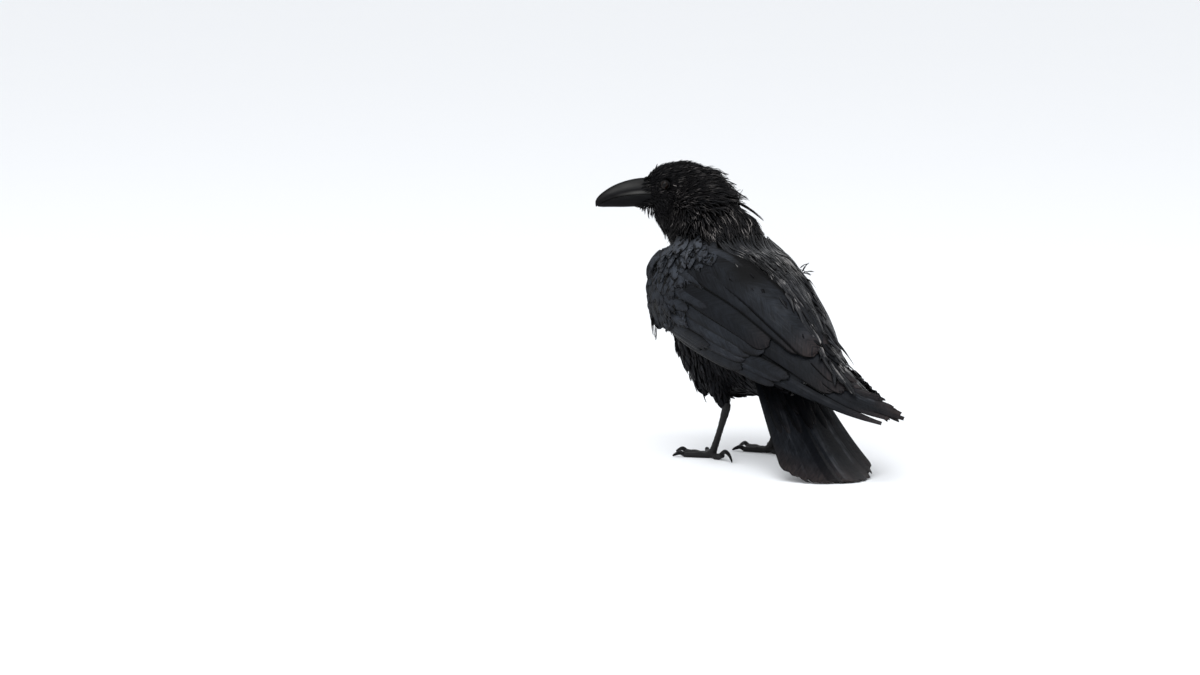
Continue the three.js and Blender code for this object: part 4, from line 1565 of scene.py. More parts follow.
@dataclass
class Wing:
    """A folded wing: its arm, small to greater and primary coverts, alula and the three kinds of quills."""

    side: Side
    tertials: Rank = Rank(
        3,
        ((0.16, 0.56, -0.8), (0.16, 0.80, 0.4), (0.18, 0.92, 0.8)),
        ((0.425, 0.50, 0.4), (0.535, 0.78, 2.0), (0.57, 0.93, 2.2)),
        (30, 44), stray=0.006, bow=-0.03, stations=16,
    )
    greater: Rank = Rank(
        4,
        ((0.14, 0.04, -2.8), (0.14, 0.22, -2.2), (0.15, 0.40, -1.6)),
        ((0.345, 0.06, -1.0), (0.375, 0.20, -0.4), (0.405, 0.36, 0.2)),
        (19, 27), stray=0.008, bow=-0.02,
    )
    median: Rank = Rank(
        8,
        ((0.06, 0.14, -1.8), (0.08, 0.40, -1.6), (0.12, 0.82, -1.0), (0.14, 1.0, -0.6)),
        ((0.165, 0.06, 0.4), (0.215, 0.36, 1.0), (0.27, 0.72, 2.4), (0.29, 0.95, 3.0)),
        (13, 17), stray=0.014,
    )
    secondaries: Rank = Rank(
        6,
        ((0.30, 0.94, -2.2), (0.30, 0.68, -2.6), (0.30, 0.42, -3.0)),
        ((0.665, 0.98, -0.4), (0.695, 0.78, -0.8), (0.66, 0.46, -1.6)),
        (27, 22), stray=0.01, stations=18,
    )
    fingers: Rank = Rank(  # the worn outer tips that stick out beyond the others
        9,
        ((0.44, 1.0, -2.0), (0.47, 0.86, -2.6), (0.50, 0.62, -3.2)),
        (
            (0.725, 1.30, -1.0), (0.75, 1.22, -1.4), (0.805, 1.26, -1.6), (0.83, 1.30, -1.8),
            (0.87, 1.32, -2.0), (0.90, 1.20, -2.3), (0.92, 1.16, -2.5), (0.905, 0.96, -2.8),
            (0.875, 0.74, -3.0),
        ),
        (11, 9), stray=0.004, bow=-0.26, stations=18,
    )
    primaries: Rank = Rank(
        5,
        (
            (0.40, 0.74, -2.6), (0.385, 0.57, -3.1), (0.37, 0.40, -3.6), (0.355, 0.23, -4.0),
            (0.34, 0.10, -4.4),
        ),
        (
            (0.945, 1.02, -2.6), (0.965, 0.72, -2.9), (0.88, 0.38, -3.4), (0.845, 0.02, -3.6),
            (0.735, 0.07, -4.2),
        ),
        (13, 11), stray=0.002, stations=20,
    )
    primary_coverts: Rank = Rank(
        4,
        ((0.17, 0.18, -2.2), (0.17, 0.03, -2.6)),
        ((0.52, 0.22, -1.2), (0.47, 0.03, -1.8)),
        (16, 11), stray=0.01,
    )
    alula: Rank = Rank(
        3,
        ((0.05, 0.16, -1.8), (0.05, 0.09, -2.4)),
        ((0.26, 0.10, 0.3), (0.24, 0.02, -0.2)),
        (12, 9), stray=0.006,
    )

    def __post_init__(self) -> None:
        """Unfolds the sheet that the feathers lie on."""
        self.sheet = WingSheet(self.side)

    def small_coverts(self, coat: Coat, plume: Plume) -> None:
        """Lays the small feathers of the shoulder, from the front edge back to the median coverts.

        Args:
            coat: the piece that they join.
            plume: their form.
        """
        rng = coat.rng
        cells = []
        for i in range(11):
            for j in range(18):
                a = -0.012 + i * 0.0185
                b = -0.04 + (j + 0.5 * (i % 2)) * 0.068
                if a < 0.125 + 0.075 * max(0, b) and 0.08 < b < 1.02 + min(2.6 * max(a, 0), 0.13):
                    cells.append((a, b))
        roots = np.array(cells) + rng.normal(0, 0.005, (len(cells), 2)) * np.array([1, 4])
        some = len(roots)
        stations = 6
        turn = -np.radians(np.interp(roots[:, 0], (0, 0.06, 0.2), (84, 70, 48))) + rng.normal(0, 0.24, some)
        length = np.interp(roots[:, 0], (0, 0.2), (28, 33)) * rng.uniform(0.8, 1.2, some)
        length = np.minimum(length, 88 * np.maximum(roots[:, 1], 0) * rng.uniform(0.85, 1.0, some))
        width = np.interp(roots[:, 0], (0, 0.2), (11, 14)) * rng.uniform(0.7, 1.25, some)
        a, b = roots[:, 0].copy(), roots[:, 1].copy()
        front = np.clip(1 - roots[:, 0] / 0.05, 0, 1)
        top = np.clip((roots[:, 1] - 0.85) / 0.2, 0, 1)
        lift = rng.exponential(0.4, some)
        full = 1.0 if self.side is Side.LEFT else 0.2
        line, outs = [], []
        for k in range(stations):
            share = k / (stations - 1)
            sunk = 7 * np.maximum(front, top) * (1 - share) ** 2
            bulge = np.interp(b, (0.1, 0.6, 0.8, 1.0), (-4.0, -2.5, 1.5, 1.0)) * front + 4.0 * top
            height = -1.2 - sunk + full * bulge + 2.0 * share + lift * share
            line.append(self.sheet.at(np.clip(a, 0, 1), b, height))
            outs.append(self.sheet.out(np.clip(a, 0, 1), b))
            per_a, per_b = self.sheet.scale(np.clip(a, 0.02, 1), b)
            step = length / (stations - 1)
            a += step * np.cos(turn) / per_a
            b += step * np.sin(turn) / per_b
            turn *= 0.96
        place = np.stack([np.clip(roots[:, 0] + 0.02, 0, 1), 0.1 + 0.8 * roots[:, 1]], axis=1)
        wet = np.clip(0.15 + rng.normal(0, 0.1, some), 0, 1)
        coat.lay(plume, Run(np.stack(line, 1), np.stack(outs, 1), width, place, wet))
        log.info("%s: %d small coverts", coat.name, some)

    def arm(self, coat: Coat) -> None:
        """Lays the arm under the coverts as one closed slab, so that nothing shows through.

        Args:
            coat: the piece that it joins.
        """
        shape = Template(26, tuple((math.cos(w), math.sin(w)) for w in np.arange(24) * np.pi / 12))
        b = 0.53 + (0.47 + 0.075 * np.exp(-(((shape.along - 0.05) / 0.07) ** 2))) * shape.across
        reach = 0.52 + 0.1 * b - 0.05 * np.cos(3 * np.pi * b)
        a = shape.along * reach * 0.97
        front = np.sqrt(np.clip(8 * shape.along + 0.2, 0, 1))
        thick = self.sheet.body.at(a)[:, 1] * (1 - 0.5 * shape.along**2) * front
        height = -3.2 - 0.5 * (1 - shape.up) * np.maximum(thick - 3.5, 1.0) * 0.8
        points = self.sheet.at(a, b, height)
        vane = np.stack([a * 300, shape.across * 0.6, np.full(len(a), 40.0)], axis=-1)
        tone = np.stack([np.full(len(a), 0.3), np.zeros(len(a)), a * 0 + 0.3], axis=-1)
        chart = np.stack([np.clip(a, 0, 1), np.clip(b, 0, 1)], axis=-1)
        faces = [f[::-1] for f in shape.faces] if self.side is Side.RIGHT else shape.faces
        coat.sets.append((points[None], faces, vane[None], tone[None], chart[None]))

    def build(self, shop: Workshop, smallest: Material, small: Material, large: Material) -> None:
        """Makes the wing's three pieces.

        Args:
            shop: places them.
            smallest: finish of the shoulder's small coverts.
            small: finish of the other coverts.
            large: finish of the long feathers.
        """
        word = self.side.word
        vane = Template(26, VANE)
        # root, widest, tip, sharp, end, fray, thick, camber and sweep of each kind of feather
        flight = Plume(vane, 0.5, 0.25, 0.13, 0.5, 0.2, 0.035, 0.3, 0.14)
        finger = Plume(vane, 0.5, 0.25, 0.42, 1.7, 0.36, 0.0, 0.3, 0.16)
        ragged = Plume(vane, 0.5, 0.25, 0.3, 1.1, 0.06, 0.05, 0.3, 0.16)
        panel = Plume(Template(18, FLAT), 0.6, 0.3, 0.24, 0.5, 0.15, 0.05, 0.25, 0.12)
        narrow = Plume(Template(12, FLAT), 0.6, 0.4, 0.3, 0.6, 0.15, 0.08, 0.2, 0.16)
        scale = Plume(Template(16, FLAT), 0.6, 0.35, 0.6, 0.85, 0.06, 0.3, 0.08, 0.05, 1.4)
        quills = Coat(f"wing_{word}_quills", 40 + self.side.value)
        self.rows(quills, (ragged, self.fingers), (finger, self.primaries))
        self.rows(quills, (flight, self.secondaries), (flight, self.tertials))
        quills.make(shop, large)
        coverts = Coat(f"wing_{word}_coverts", 50 + self.side.value)
        self.arm(coverts)
        self.rows(coverts, (panel, self.primary_coverts), (panel, self.greater))
        self.rows(coverts, (panel, self.alula), (narrow, self.median))
        coverts.make(shop, small, (f"wing_{word}",))
        shoulder = Coat(f"wing_{word}_shoulder", 70 + self.side.value)
        self.small_coverts(shoulder, scale)
        shoulder.make(shop, smallest)

    def rows(self, coat: Coat, *pairs: tuple[Plume, Rank]) -> None:
        """Lays rows of large feathers, each of its own form."""
        for plume, rank in pairs:
            coat.lay(plume, rank.run(self.sheet, coat.rng))


# ---------------------------------------------------------------- tail


@dataclass
class Tail:
    """Twelve tail feathers in a fan that comes down to the ground, with the coverts over their roots."""

    tip: tuple[float, float, float] = (32, 240, 1.2)
    count: int = 12
    width: float = 27.0
    root_spread: float = 17.0
    aside: float = 5.0  # how far its middle lies to the left
    fan: float = math.radians(9)
    fan_reach: float = 236.0  # how far the fan opens along the tail
    wedge: float = 0.2  # how much shorter the outermost feathers are
    stations: int = 26

    def point(self, t: Array) -> Array:
        """The tail's middle line.

        Args:
            t: from 0 at the root to 1 at the tip.

        Returns:
            The points.
        """
        handles = (TAIL_ROOT, plain(4, 116, 80), plain(15, 182, 10), plain(*self.tip))
        t = t[..., None]
        weights = ((1 - t) ** 3, 3 * t * (1 - t) ** 2, 3 * t**2 * (1 - t), t**3)
        return sum(w * h for w, h in zip(weights, handles))

    def run(
        self, rank: Array, start: float, length: Array, height: float, width: float, rng: Generator,
    ) -> Run:
        """Where tail feathers lie.

        Args:
            rank: from -1, the outermost right, to 1, the outermost left.
            start: share of the tail's line at which they begin.
            length: share at which each ends.
            height: over the tail feathers' own level.
            width: of a feather.
            rng: for small irregularities.

        Returns:
            The feathers' run.
        """
        u = np.linspace(0, 1, self.stations)[None, :]
        t = start + (length[:, None] - start) * u
        line = self.point(t)
        ahead = unit(self.point(t + 1e-3) - self.point(t - 1e-3))
        side = unit(plain(1, -0.17, 0))
        beside = unit(side - ahead * (ahead @ side)[..., None])
        out = unit(np.cross(beside, ahead))
        opened = np.sin(self.fan * rank)[:, None] * t * self.fan_reach
        spread = self.aside + rank[:, None] * self.root_spread + opened
        sunk = -0.6 + height - (2.2 + 3.5 * t) * np.abs(rank)[:, None]
        line = line + beside * spread[..., None] + out * sunk[..., None]
        some = len(rank)
        place = np.stack([0.5 + 0.4 * rank, np.full(some, start)], axis=1)
        wet = np.clip(0.3 + rng.normal(0, 0.1, some), 0, 1)
        return Run(line, out, np.full(some, width), place, wet, -0.35 * rank)

    def build(self, shop: Workshop, material: Material, small: Material) -> None:
        """Makes the tail feathers and the coverts over their roots.

        Args:
            shop: places them in the frame.
            material: the tail feathers' finish.
            small: the coverts' finish.
        """
        quills = Coat("tail_quills", 61)
        rank = np.linspace(-1, 1, self.count)
        run = self.run(rank, 0.0, 1 - self.wedge * rank**2, 0.0, self.width, quills.rng)
        low = 0.3 + 0.3 * (1 - np.abs(rank))
        run.line[..., 2] = np.maximum(run.line[..., 2], low[:, None] + 0.5)
        quills.lay(Plume(Template(34, VANE), 0.6, 0.3, 0.1, 0.5, 0.25, 0.04, 0.28, 0.1), run, floor=0.25)
        quills.make(shop, material, ("tail",))
        coverts = Coat("tail_coverts", 62)
        for start, end, height, count in ((0.02, 0.30, 2.6, 9), (0.08, 0.42, 2.0, 8), (0.18, 0.52, 1.4, 7)):
            rank = np.linspace(-0.9, 0.9, count) + coverts.rng.normal(0, 0.05, count)
            length = end + coverts.rng.normal(0, 0.02, count)
            run = self.run(rank, start, length, height, 17.0, coverts.rng)
            coverts.lay(Plume(Template(12, FLAT), 0.6, 0.35, 0.35, 0.7, 0.1, 0.12, 0.25, 0.12), run)
        coverts.make(shop, small)


# ---------------------------------------------------------------- bill and eyes


@dataclass
class Form:
    """A closed form: its points and faces, and each point's share along it and height across it."""

    points: Array
    faces: list[list[int]]
    way: Array

    def mesh(self, name: str, shop: Workshop) -> Mesh:
        """The form as a mesh in the frame, with its way as an attribute.

        Args:
            name: the mesh's name.
            shop: places it in the frame.

        Returns:
            The mesh.
        """
        mesh = tiled_mesh(name, shop.to_frame(self.points)[None], self.faces)
        set_attribute(mesh, "way", self.way)
        outward(mesh)
        return mesh


def ball(along: int, around: int) -> tuple[Array, list[list[int]]]:
    """A ball of radius one: its places and faces.

    Args:
        along: steps from pole to pole.
        around: steps around.

    Returns:
        The places and the faces.
    """
    bm = bmesh.new()
    bmesh.ops.create_uvsphere(bm, u_segments=around, v_segments=along, radius=1)
    return corners_and_faces(bm)


def round_form(
    line: SmoothLine,
    radii: SmoothLine,
    side: Array,
    ends: tuple[float, float],
    counts: tuple[int, int],
    shape: Callable[[Array, Array], Array] | None = None,
) -> Form:
    """Bends a ball along a line.

    Args:
        line: its middle.
        radii: half-width to the side, above and under, along the line.
        side: direction of the width.
        ends: shares of the length over which the ends close.
        counts: steps along and around.
        shape: changes the radius, from shares along the form and angles round it.

    Returns:
        The form.
    """
    places, faces = ball(*counts)
    t = (1 - places[:, 2]) / 2
    angle = np.arctan2(places[:, 1], places[:, 0])
    centre, ahead, r = line.at(t), line.tangent(t), radii.at(t)
    beside = unit(side - ahead * (ahead @ side)[:, None])
    above = np.cross(beside, ahead)
    close = round_end(t, ends[0]) * round_end(1 - t, ends[1])
    tall = np.where(np.sin(angle) > 0, r[:, 1], r[:, 2])
    grow = np.ones_like(t) if shape is None else shape(t, angle)
    points = centre + beside * (r[:, 0] * close * grow * np.cos(angle))[:, None]
    points += above * (tall * close * grow * np.sin(angle))[:, None]
    return Form(points, faces, np.stack([t, np.sin(angle), np.cos(angle)], axis=-1))


MOUTH_LINE = (  # ahead, above, half-width, horn above the line, horn under it
    (31, -6, 10.2, 17, 13.5),
    (46, -6.6, 9.6, 18, 14.5),
    (60, -7.6, 8.6, 16.8, 14.2),
    (74, -9.8, 7.2, 14.2, 12.6),
    (86, -13.4, 5.4, 11, 9.2),
    (95, -17.6, 3.3, 7.6, 5.2),
    (101, -22.6, 1.2, 2.6, 1),
)


@dataclass
class Bill:
    """The heavy arched bill: two halves that meet along the mouth's line."""

    edge: float = 0.3  # height of each half's cutting edge
    gap: float = 0.16
    keel: float = 0.1  # how much the culmen narrows to a ridge

    def half(self, upper: bool) -> Form:
        """One half's form.

        Args:
            upper: whether it is the upper half.

        Returns:
            The form.
        """
        sign = 1 if upper else -1
        lift = sign * (self.edge + self.gap / 2)
        rows = MOUTH_LINE if upper else (*MOUTH_LINE[:-1], (99.3, -21.0, 1.8, 0, 1.9))
        line = SmoothLine([on_head(a, 0, z + lift) for a, z, *_ in rows])
        radii = SmoothLine([
            (s, t, self.edge) if upper else (0.9 * s, self.edge, u) for _, _, s, t, u in rows
        ])

        def ridged(t: Array, angle: Array) -> Array:
            """A ridge along the culmen and a furrow beside it.

            Args:
                t: from 0 at the start to 1 at the end.
                angle: round the form, in radians.

            Returns:
                The share of the radius that is left.
            """
            high = np.clip(sign * np.sin(angle), 0, 1)
            flank = np.exp(-(((high - 0.62) / 0.2) ** 2))
            return 1 - self.keel * flank * np.clip(1.15 - t, 0, 1)

        return round_form(line, radii, -HEAD_LEFT, (0.06, 0.1), (72, 56), ridged)

    def build(self, shop: Workshop, material: Material) -> None:
        """Makes both halves.

        Args:
            shop: places them in the frame.
            material: their finish.
        """
        for word, upper in (("upper", True), ("lower", False)):
            mesh = self.half(upper).mesh(f"horn_bill_{word}", shop)
            shop.finish(mesh, material, Slot.HORN, (f"bill_{word}",))

    def around(
        self, ahead: Array, angle: Array, lift: Array, upper: bool, fit: tuple[float, float],
    ) -> tuple[Array, Array]:
        """Lines over the bill's surface.

        Args:
            ahead: how far their points are ahead of the head's centre.
            angle: where they are round the bill, from its left side upwards.
            lift: their height over the horn.
            upper: whether they lie on the upper half.
            fit: the shares of the horn's half-width and height that count as its surface.

        Returns:
            The points and the ways out.
        """
        spots = np.array(MOUTH_LINE)
        base, side, tall = (np.interp(ahead, spots[:, 0], spots[:, k]) for k in (1, 2, 3 if upper else 4))
        left, above = (side * fit[0] + lift) * np.cos(angle), (tall * fit[1] + lift) * np.sin(angle)
        line = on_head(ahead[..., None], left[..., None], (base + above)[..., None])
        outs = unit(head_way(0, np.cos(angle)[..., None], np.sin(angle)[..., None]))
        return line, outs

    def bristles(self, coat: Coat, plume: Plume) -> None:
        """Lays the stiff bristles that cover the nostrils on both sides of the upper half.

        Args:
            coat: the piece that they join.
            plume: their form.
        """
        rng = coat.rng
        some = 120
        way = rng.uniform(-1, 1, some)
        angle = np.pi / 2 - way * 1.25
        start = rng.uniform(27, 36, some)
        reach = np.interp(np.abs(way), (0, 0.5, 1), (7, 15, 12)) * rng.uniform(0.6, 1.1, some)
        share = np.linspace(0, 1, 6)[None, :]
        ahead = start[:, None] + reach[:, None] * share
        droop = angle[:, None] - np.sign(way)[:, None] * 0.25 * share
        lift = 0.6 + 0.9 * np.sin(np.pi * share) - 0.5 * share
        line, outs = self.around(ahead, droop, lift, True, (0.98, 0.98))
        coat.lay(plume, Run(line, outs, rng.uniform(0.9, 1.5, some), unwrap(line[:, 0]), np.full(some, 0.3)))

    def chin(self, coat: Coat, plume: Plume) -> None:
        """Lays the soft feathers that run back under the lower half and hang from it.

        Args:
            coat: the piece that they join.
            plume: their form.
        """
        rng = coat.rng
        some = 260
        start = 34 + 24 * rng.random(some) ** 1.3
        reach = rng.uniform(6, 12, some)
        tilt = np.radians(rng.uniform(-62, 62, some)) * np.interp(start, (34, 58), (1.25, 0.5))
        share = np.linspace(0, 1, 6)[None, :]
        ahead = start[:, None] - reach[:, None] * 0.85 * share
        lift = -0.4 + reach[:, None] * share * rng.uniform(0.12, 0.5, some)[:, None]
        angle = np.broadcast_to(tilt[:, None] - np.pi / 2, ahead.shape)
        line, outs = self.around(ahead, angle, lift, False, (0.9, 1.0))
        coat.lay(plume, Run(line, outs, rng.uniform(1.0, 1.7, some), unwrap(line[:, 0]), np.full(some, 0.1)))


@dataclass
class Eye:
    """One eye, set into the side of the head."""

    side: Side
    lid_round: float = 5.6  # radius of the opening between the lids
    lid_thick: float = 0.75
    cornea: float = 0.35  # how far the eyeball bulges where it looks

    @property
    def centre(self) -> Array:
        """The eyeball's middle."""
        ahead, beside, above = EYE_PLACE
        return on_head(ahead, self.side.value * beside, above)

    @property
    def gaze(self) -> Array:
        """The way the eye looks: outwards and a little ahead."""
        return unit(head_way(0.28, self.side.value * 1.0, 0.04))

    def build(self, shop: Workshop) -> None:
        """Makes the eyeball, a little taller at the cornea.

        Args:
            shop: places it in the frame.
        """
        word = self.side.word
        places, faces = ball(28, 40)
        facing = np.maximum(places @ self.gaze, 0) ** 6
        points = self.centre + places * EYE_RADIUS + self.gaze * self.cornea * facing[:, None]
        mesh = tiled_mesh(f"eyeball_{word}", shop.to_frame(points)[None], faces)
        outward(mesh)
        finish = EyeFinish(f"raven_eye_{word}", self.centre, self.gaze)
        shop.finish(mesh, finish.make(shop), Slot.EYE, (f"eye_{word}",))

    def add_lids(self, bm: bmesh.types.BMesh, shop: Workshop) -> None:
        """Adds the lids to the skin, as a rolled rim round the opening.

        Args:
            bm: the skin, in metres of the frame.
            shop: turns the bird's millimetres into them.
        """
        gaze = Vector(self.gaze)
        centre = Vector(shop.to_frame(self.centre + self.gaze * 2.6))
        before = len(bm.verts)
        ring = bmesh.ops.create_circle(bm, segments=10, radius=self.lid_thick * MM)["verts"]
        aside = gaze.cross(Vector((0, 0, 1))).normalized()
        start = centre + aside * self.lid_round * MM
        for vertex in ring:
            vertex.co = start + aside * vertex.co.x + gaze * vertex.co.y
        edges = [e for e in bm.edges if all(v in ring for v in e.verts)]
        bmesh.ops.spin(
            bm, geom=ring + edges, cent=centre, axis=gaze, angle=2 * math.pi, steps=40, use_merge=True,
        )
        bm.verts.ensure_lookup_table()
        added = bm.verts[before:]
        for vertex in added:
            off = vertex.co - centre
            vertex.co -= Vector((0, 0, 1)) * off.z * 0.14
        faces = {f for v in added for f in v.link_faces}
        bmesh.ops.recalc_face_normals(bm, faces=list(faces))


# ---------------------------------------------------------------- legs and feet


@dataclass(frozen=True)
class Toe:
    """One toe: its heading from straight ahead outwards, its length, its claw and how high it ends."""

    name: str
    turn: float
    length: float
    claw: float
    heave: float


TOES = (
    Toe("middle", 4, 45, 19, 0),
    Toe("inner", -30, 33, 16, 0),
    Toe("outer", 38, 34, 15, 0),
    Toe("hind", 172, 24, 25, 5),
)


@dataclass
class Leg:
    """A bare shank with its shields, four padded toes and their claws."""

    side: Side
    tarsus: float = 3.7  # radius of the shank's middle
    toe_round: float = 3.9  # radius of a toe
    sole_sink: float = 0.8  # how flat its pads are pressed
    shields: int = 11

    def __post_init__(self) -> None:
        """Takes the foot's place."""
        self.x, self.y = FOOT_PLACE[self.side.word]

    def sole_height(self, radius: float) -> float:
        """The height of a toe's middle with its pad pressed flat."""
        return radius * math.sin(math.pi / 3) - self.sole_sink

    def spot(self, toe: Toe, reach: float, height: float) -> tuple[float, float, float]:
        """A point over the line that a toe lies on.

        Args:
            toe: the toe.
            reach: from the middle of the foot, in millimetres.
            height: over the ground.

        Returns:
            The point.
        """
        turn = math.radians(toe.turn)
        return (
            self.x + self.side.value * math.sin(turn) * reach,
            self.y - math.cos(turn) * reach,
            height,
        )

    def rod(
        self,
        points: Sequence[Sequence[float]],
        radii: Sequence[float],
        counts: tuple[int, int],
        ends: tuple[float, float],
        shape: Callable[[Array, Array], Array] | None = None,
    ) -> Form:
        """A round rod through points.

        Args:
            points: of the middle line.
            radii: at those points.
            counts: steps along and around.
            ends: shares of the length over which the ends close.
            shape: changes the radius, if given.

        Returns:
            The form.
        """
        run = np.abs(np.array(points[-1]) - np.array(points[0]))
        side = plain(0, 1, 0) if run[0] > run[1] else plain(1, 0, 0)
        widths = SmoothLine([(r, r, r) for r in radii])
        return round_form(SmoothLine(points), widths, side, ends, counts, shape)

    def shank(self) -> Form:
        """The shank from inside the ankle down into the foot, with overlapping shields in front.

        Returns:
            The form.
        """
        x, y, s = self.x, self.y, self.side.value
        points = (
            (x + s * 1.5, y + ANKLE_BACK, ANKLE_RISE + 7),
            (x + s * 1.2, y + ANKLE_BACK, ANKLE_RISE),
            (x + s * 0.6, y + ANKLE_BACK * 0.6, ANKLE_RISE * 0.6),
            (x, y + 5, 14),
            (x, y, 5.5),
        )

        def shielded(t: Array, angle: Array) -> Array:
            """Each shield stands out at its lower edge; the back of the shank is a plain keel."""
            front = np.clip(np.abs(np.sin(angle)) * 1.6 - 0.3, 0, 1)
            return 1 + front * (0.075 * saw(t * self.shields) ** 1.5 - 0.03) - 0.05 * (1 - front)

        radii = (4.2, 5, self.tarsus, self.tarsus + 0.4, 5.2)
        return self.rod(points, radii, (150, 28), (0.08, 0.08), shielded)

    def toe_form(self, toe: Toe) -> Form:
        """A toe with its pads beneath and its small shields above.

        Args:
            toe: the toe.

        Returns:
            The form.
        """
        r = self.toe_round
        joints = (
            (0, r + 1, 2.2),
            (0.22, r * 0.95, 0.9),
            (0.45, r, 0),
            (0.72, r * 0.88, 0.7 + toe.heave * 0.3),
            (1, r * 0.84, toe.heave),
        )
        points = [
            self.spot(toe, toe.length * share, self.sole_height(radius) + up) for share, radius, up in joints
        ]
        bands = max(8, round(toe.length / 3))
        pads = 3 if toe.name == "middle" else 2

        def padded(t: Array, angle: Array) -> Array:
            """Pads swell under the toe, and shields step along its top.

            Args:
                t: from 0 at the start to 1 at the end.
                angle: round the form, in radians.

            Returns:
                What the radius is multiplied by.
            """
            top = np.clip(np.sin(angle), 0, 1)
            under = np.clip(-np.sin(angle), 0, 1)
            return 1 + top * (0.09 * saw(t * bands) - 0.03) + under * 0.08 * np.cos(2 * np.pi * pads * t)

        form = self.rod(points, [j[1] for j in joints], (90, 22), (0.06, 0.06), padded)
        form.points[:, 2] = np.maximum(form.points[:, 2], 0)
        return form

    def claw_form(self, toe: Toe) -> Form:
        """A claw that arches over and comes down to the ground.

        Args:
            toe: the toe that it ends.

        Returns:
            The form.
        """
        rest = self.sole_height(self.toe_round * 0.84) + toe.heave + 0.3
        length, claw = toe.length, toe.claw
        points = (
            self.spot(toe, length - 3, rest),
            self.spot(toe, length + claw * 0.22, rest + claw * 0.16),
            self.spot(toe, length + claw * 0.55, rest + claw * 0.06),
            self.spot(toe, length + claw * 0.76, rest * 0.42 + 0.6),
            self.spot(toe, length + claw * 0.82, 0.5),
        )
        form = self.rod(points, (2.6, 2.5, 1.9, 1.2, 0.45), (44, 18), (0.04, 0.06))
        form.points[:, 2] = np.maximum(form.points[:, 2], 0)
        return form

    def build(self, shop: Workshop, skin: Material, horn: Material) -> None:
        """Makes the shank, the foot and the claws.

        Args:
            shop: places them.
            skin: finish of shank and toes.
            horn: finish of the claws.
        """
        word = self.side.word
        mesh = self.shank().mesh(f"leg_shank_{word}", shop)
        shop.finish(mesh, skin, Slot.LEG, (f"shank_{word}",))
        toes = []
        for toe in TOES:
            toes.append(self.toe_form(toe).mesh(f"toe_{toe.name}", shop))
            mesh = self.claw_form(toe).mesh(f"horn_claw_{toe.name}_{word}", shop)
            shop.finish(mesh, horn, Slot.HORN, (f"claw_{toe.name}_{word}",))
        shop.finish(joined(f"leg_foot_{word}", toes), skin, Slot.LEG, (f"foot_{word}",))


# ---------------------------------------------------------------- the coat


def on_face(at: Array, out: Array) -> Array:
    """Which points are on forehead, lores, cheeks or chin."""
    ahead, _, above = head_terms(at)
    return (ahead > 10) & (above > -46)


def on_crown(at: Array, out: Array) -> Array:
    """Which points are on the rest of the head."""
    ahead, _, above = head_terms(at)
    return (ahead <= 10) & (above + 0.9 * ahead > -52) & (above > -44)


def on_neck(at: Array, out: Array) -> Array:
    """Which points are between the head and just under the cut between neck and trunk."""
    return ~on_face(at, out) & ~on_crown(at, out) & (of_neck(at) < 6)


def on_back(at: Array, out: Array) -> Array:
    """Which points are on the back or the rump."""
    return (of_neck(at) >= 6) & (out[:, 2] > 0.12) & (at[:, 1] > -30) & (at[:, 2] > 100)


def on_thigh(at: Array, out: Array) -> Array:
    """Which points are on the thighs below the belly.

    Args:
        at: the points.
        out: the way out at each; it is not used.

    Returns:
        True or false for each.
    """
    near = np.zeros(len(at), bool)
    for side in Side:
        x, y = FOOT_PLACE[side.word]
        off = np.hypot(at[:, 0] - x - 3 * side.value, at[:, 1] - y - 12)
        near |= (off < 27) & (at[:, 2] < 96)
    return near


def on_trunk(at: Array, out: Array) -> Array:
    """Which points are on breast, sides, belly or vent."""
    return (of_neck(at) >= 6) & ~on_back(at, out) & ~on_thigh(at, out)


def on_mantle(at: Array, out: Array) -> Array:
    """Which points are over both wings' upper edges and the back between them.

    Args:
        at: the points.
        out: the way out at each.

    Returns:
        True or false for each.
    """
    left = np.interp(at[:, 1], (-62, -30, 0, 30, 60, 90, 164, 190), (40, 42, 37, 27, 18, 12, 10, 8))
    right = np.interp(at[:, 1], (-62, -8, 40, 90, 122, 164, 190), (-44, -62, -66, -66, -62, -50, -40))
    within = (at[:, 0] < left) & (at[:, 0] > right) & (at[:, 1] < 182)
    return within & (out[:, 2] > 0.02) & (of_neck(at) >= -2)


# Wet points of feathers that stand out of the coat, each from its root to its tip. Those of the head are in
# its own terms.
FOREHEAD_TUFTS = (
    ((34, 0, 15), (29.5, 0, 28)), ((26, 1, 18), (19.5, 1, 30)), ((18, -1, 22), (11, -1, 30)),
    ((14, 1, 24), (0.5, 1, 33)), ((39, 0, 10), (37.5, 0, 19.5)),
)
NAPE_TUFTS = (  # with their width and number of locks
    ((-30, 3, 17), (-53, 4, 15.0), 4.5, 5), ((-34, 5, 13), (-62, 5, 3), 4.5, 5),
    ((-40, 8, 6), (-56, 8, 4), 3.0, 3), ((-40, 8, 4), (-76, 11, -13), 5.5, 7),
    ((-46, 6, 0), (-66, 8, -8), 3.5, 4), ((-52, 16, -10), (-94, 20, -37), 5.0, 7),
    ((-56, 14, -20), (-83, 16, -39), 2.5, 3), ((-62, 20, -30), (-95, 22, -53), 5.0, 7),
)
THROAT_TUFTS = (
    ((43, 0, -15), (47, 0, -28)), ((41, 1, -16), (44, 1, -31)), ((39, -1, -17), (40, 0, -36)),
    ((36, 2, -17), (37, 1, -33)), ((33, -1, -19), (35, -1, -36)), ((29, 1, -21), (31, 1, -37)),
    ((26, -1, -23), (28, -1, -40)), ((20, 3, -28), (22, 3, -44)), ((45, 2, -16), (50, 2, -25)),
)
FLANK_TUFTS = (
    ((44, -22, 102), (42, -18.5, 74)), ((42, -12, 92), (41, -5, 64)), ((46, -30, 104), (45, -27, 86)),
    ((40, -16, 96), (38, -12, 72)), ((78, -54, 162), (79.5, -54, 140)), ((78, -48, 160), (79.5, -48, 135)),
)
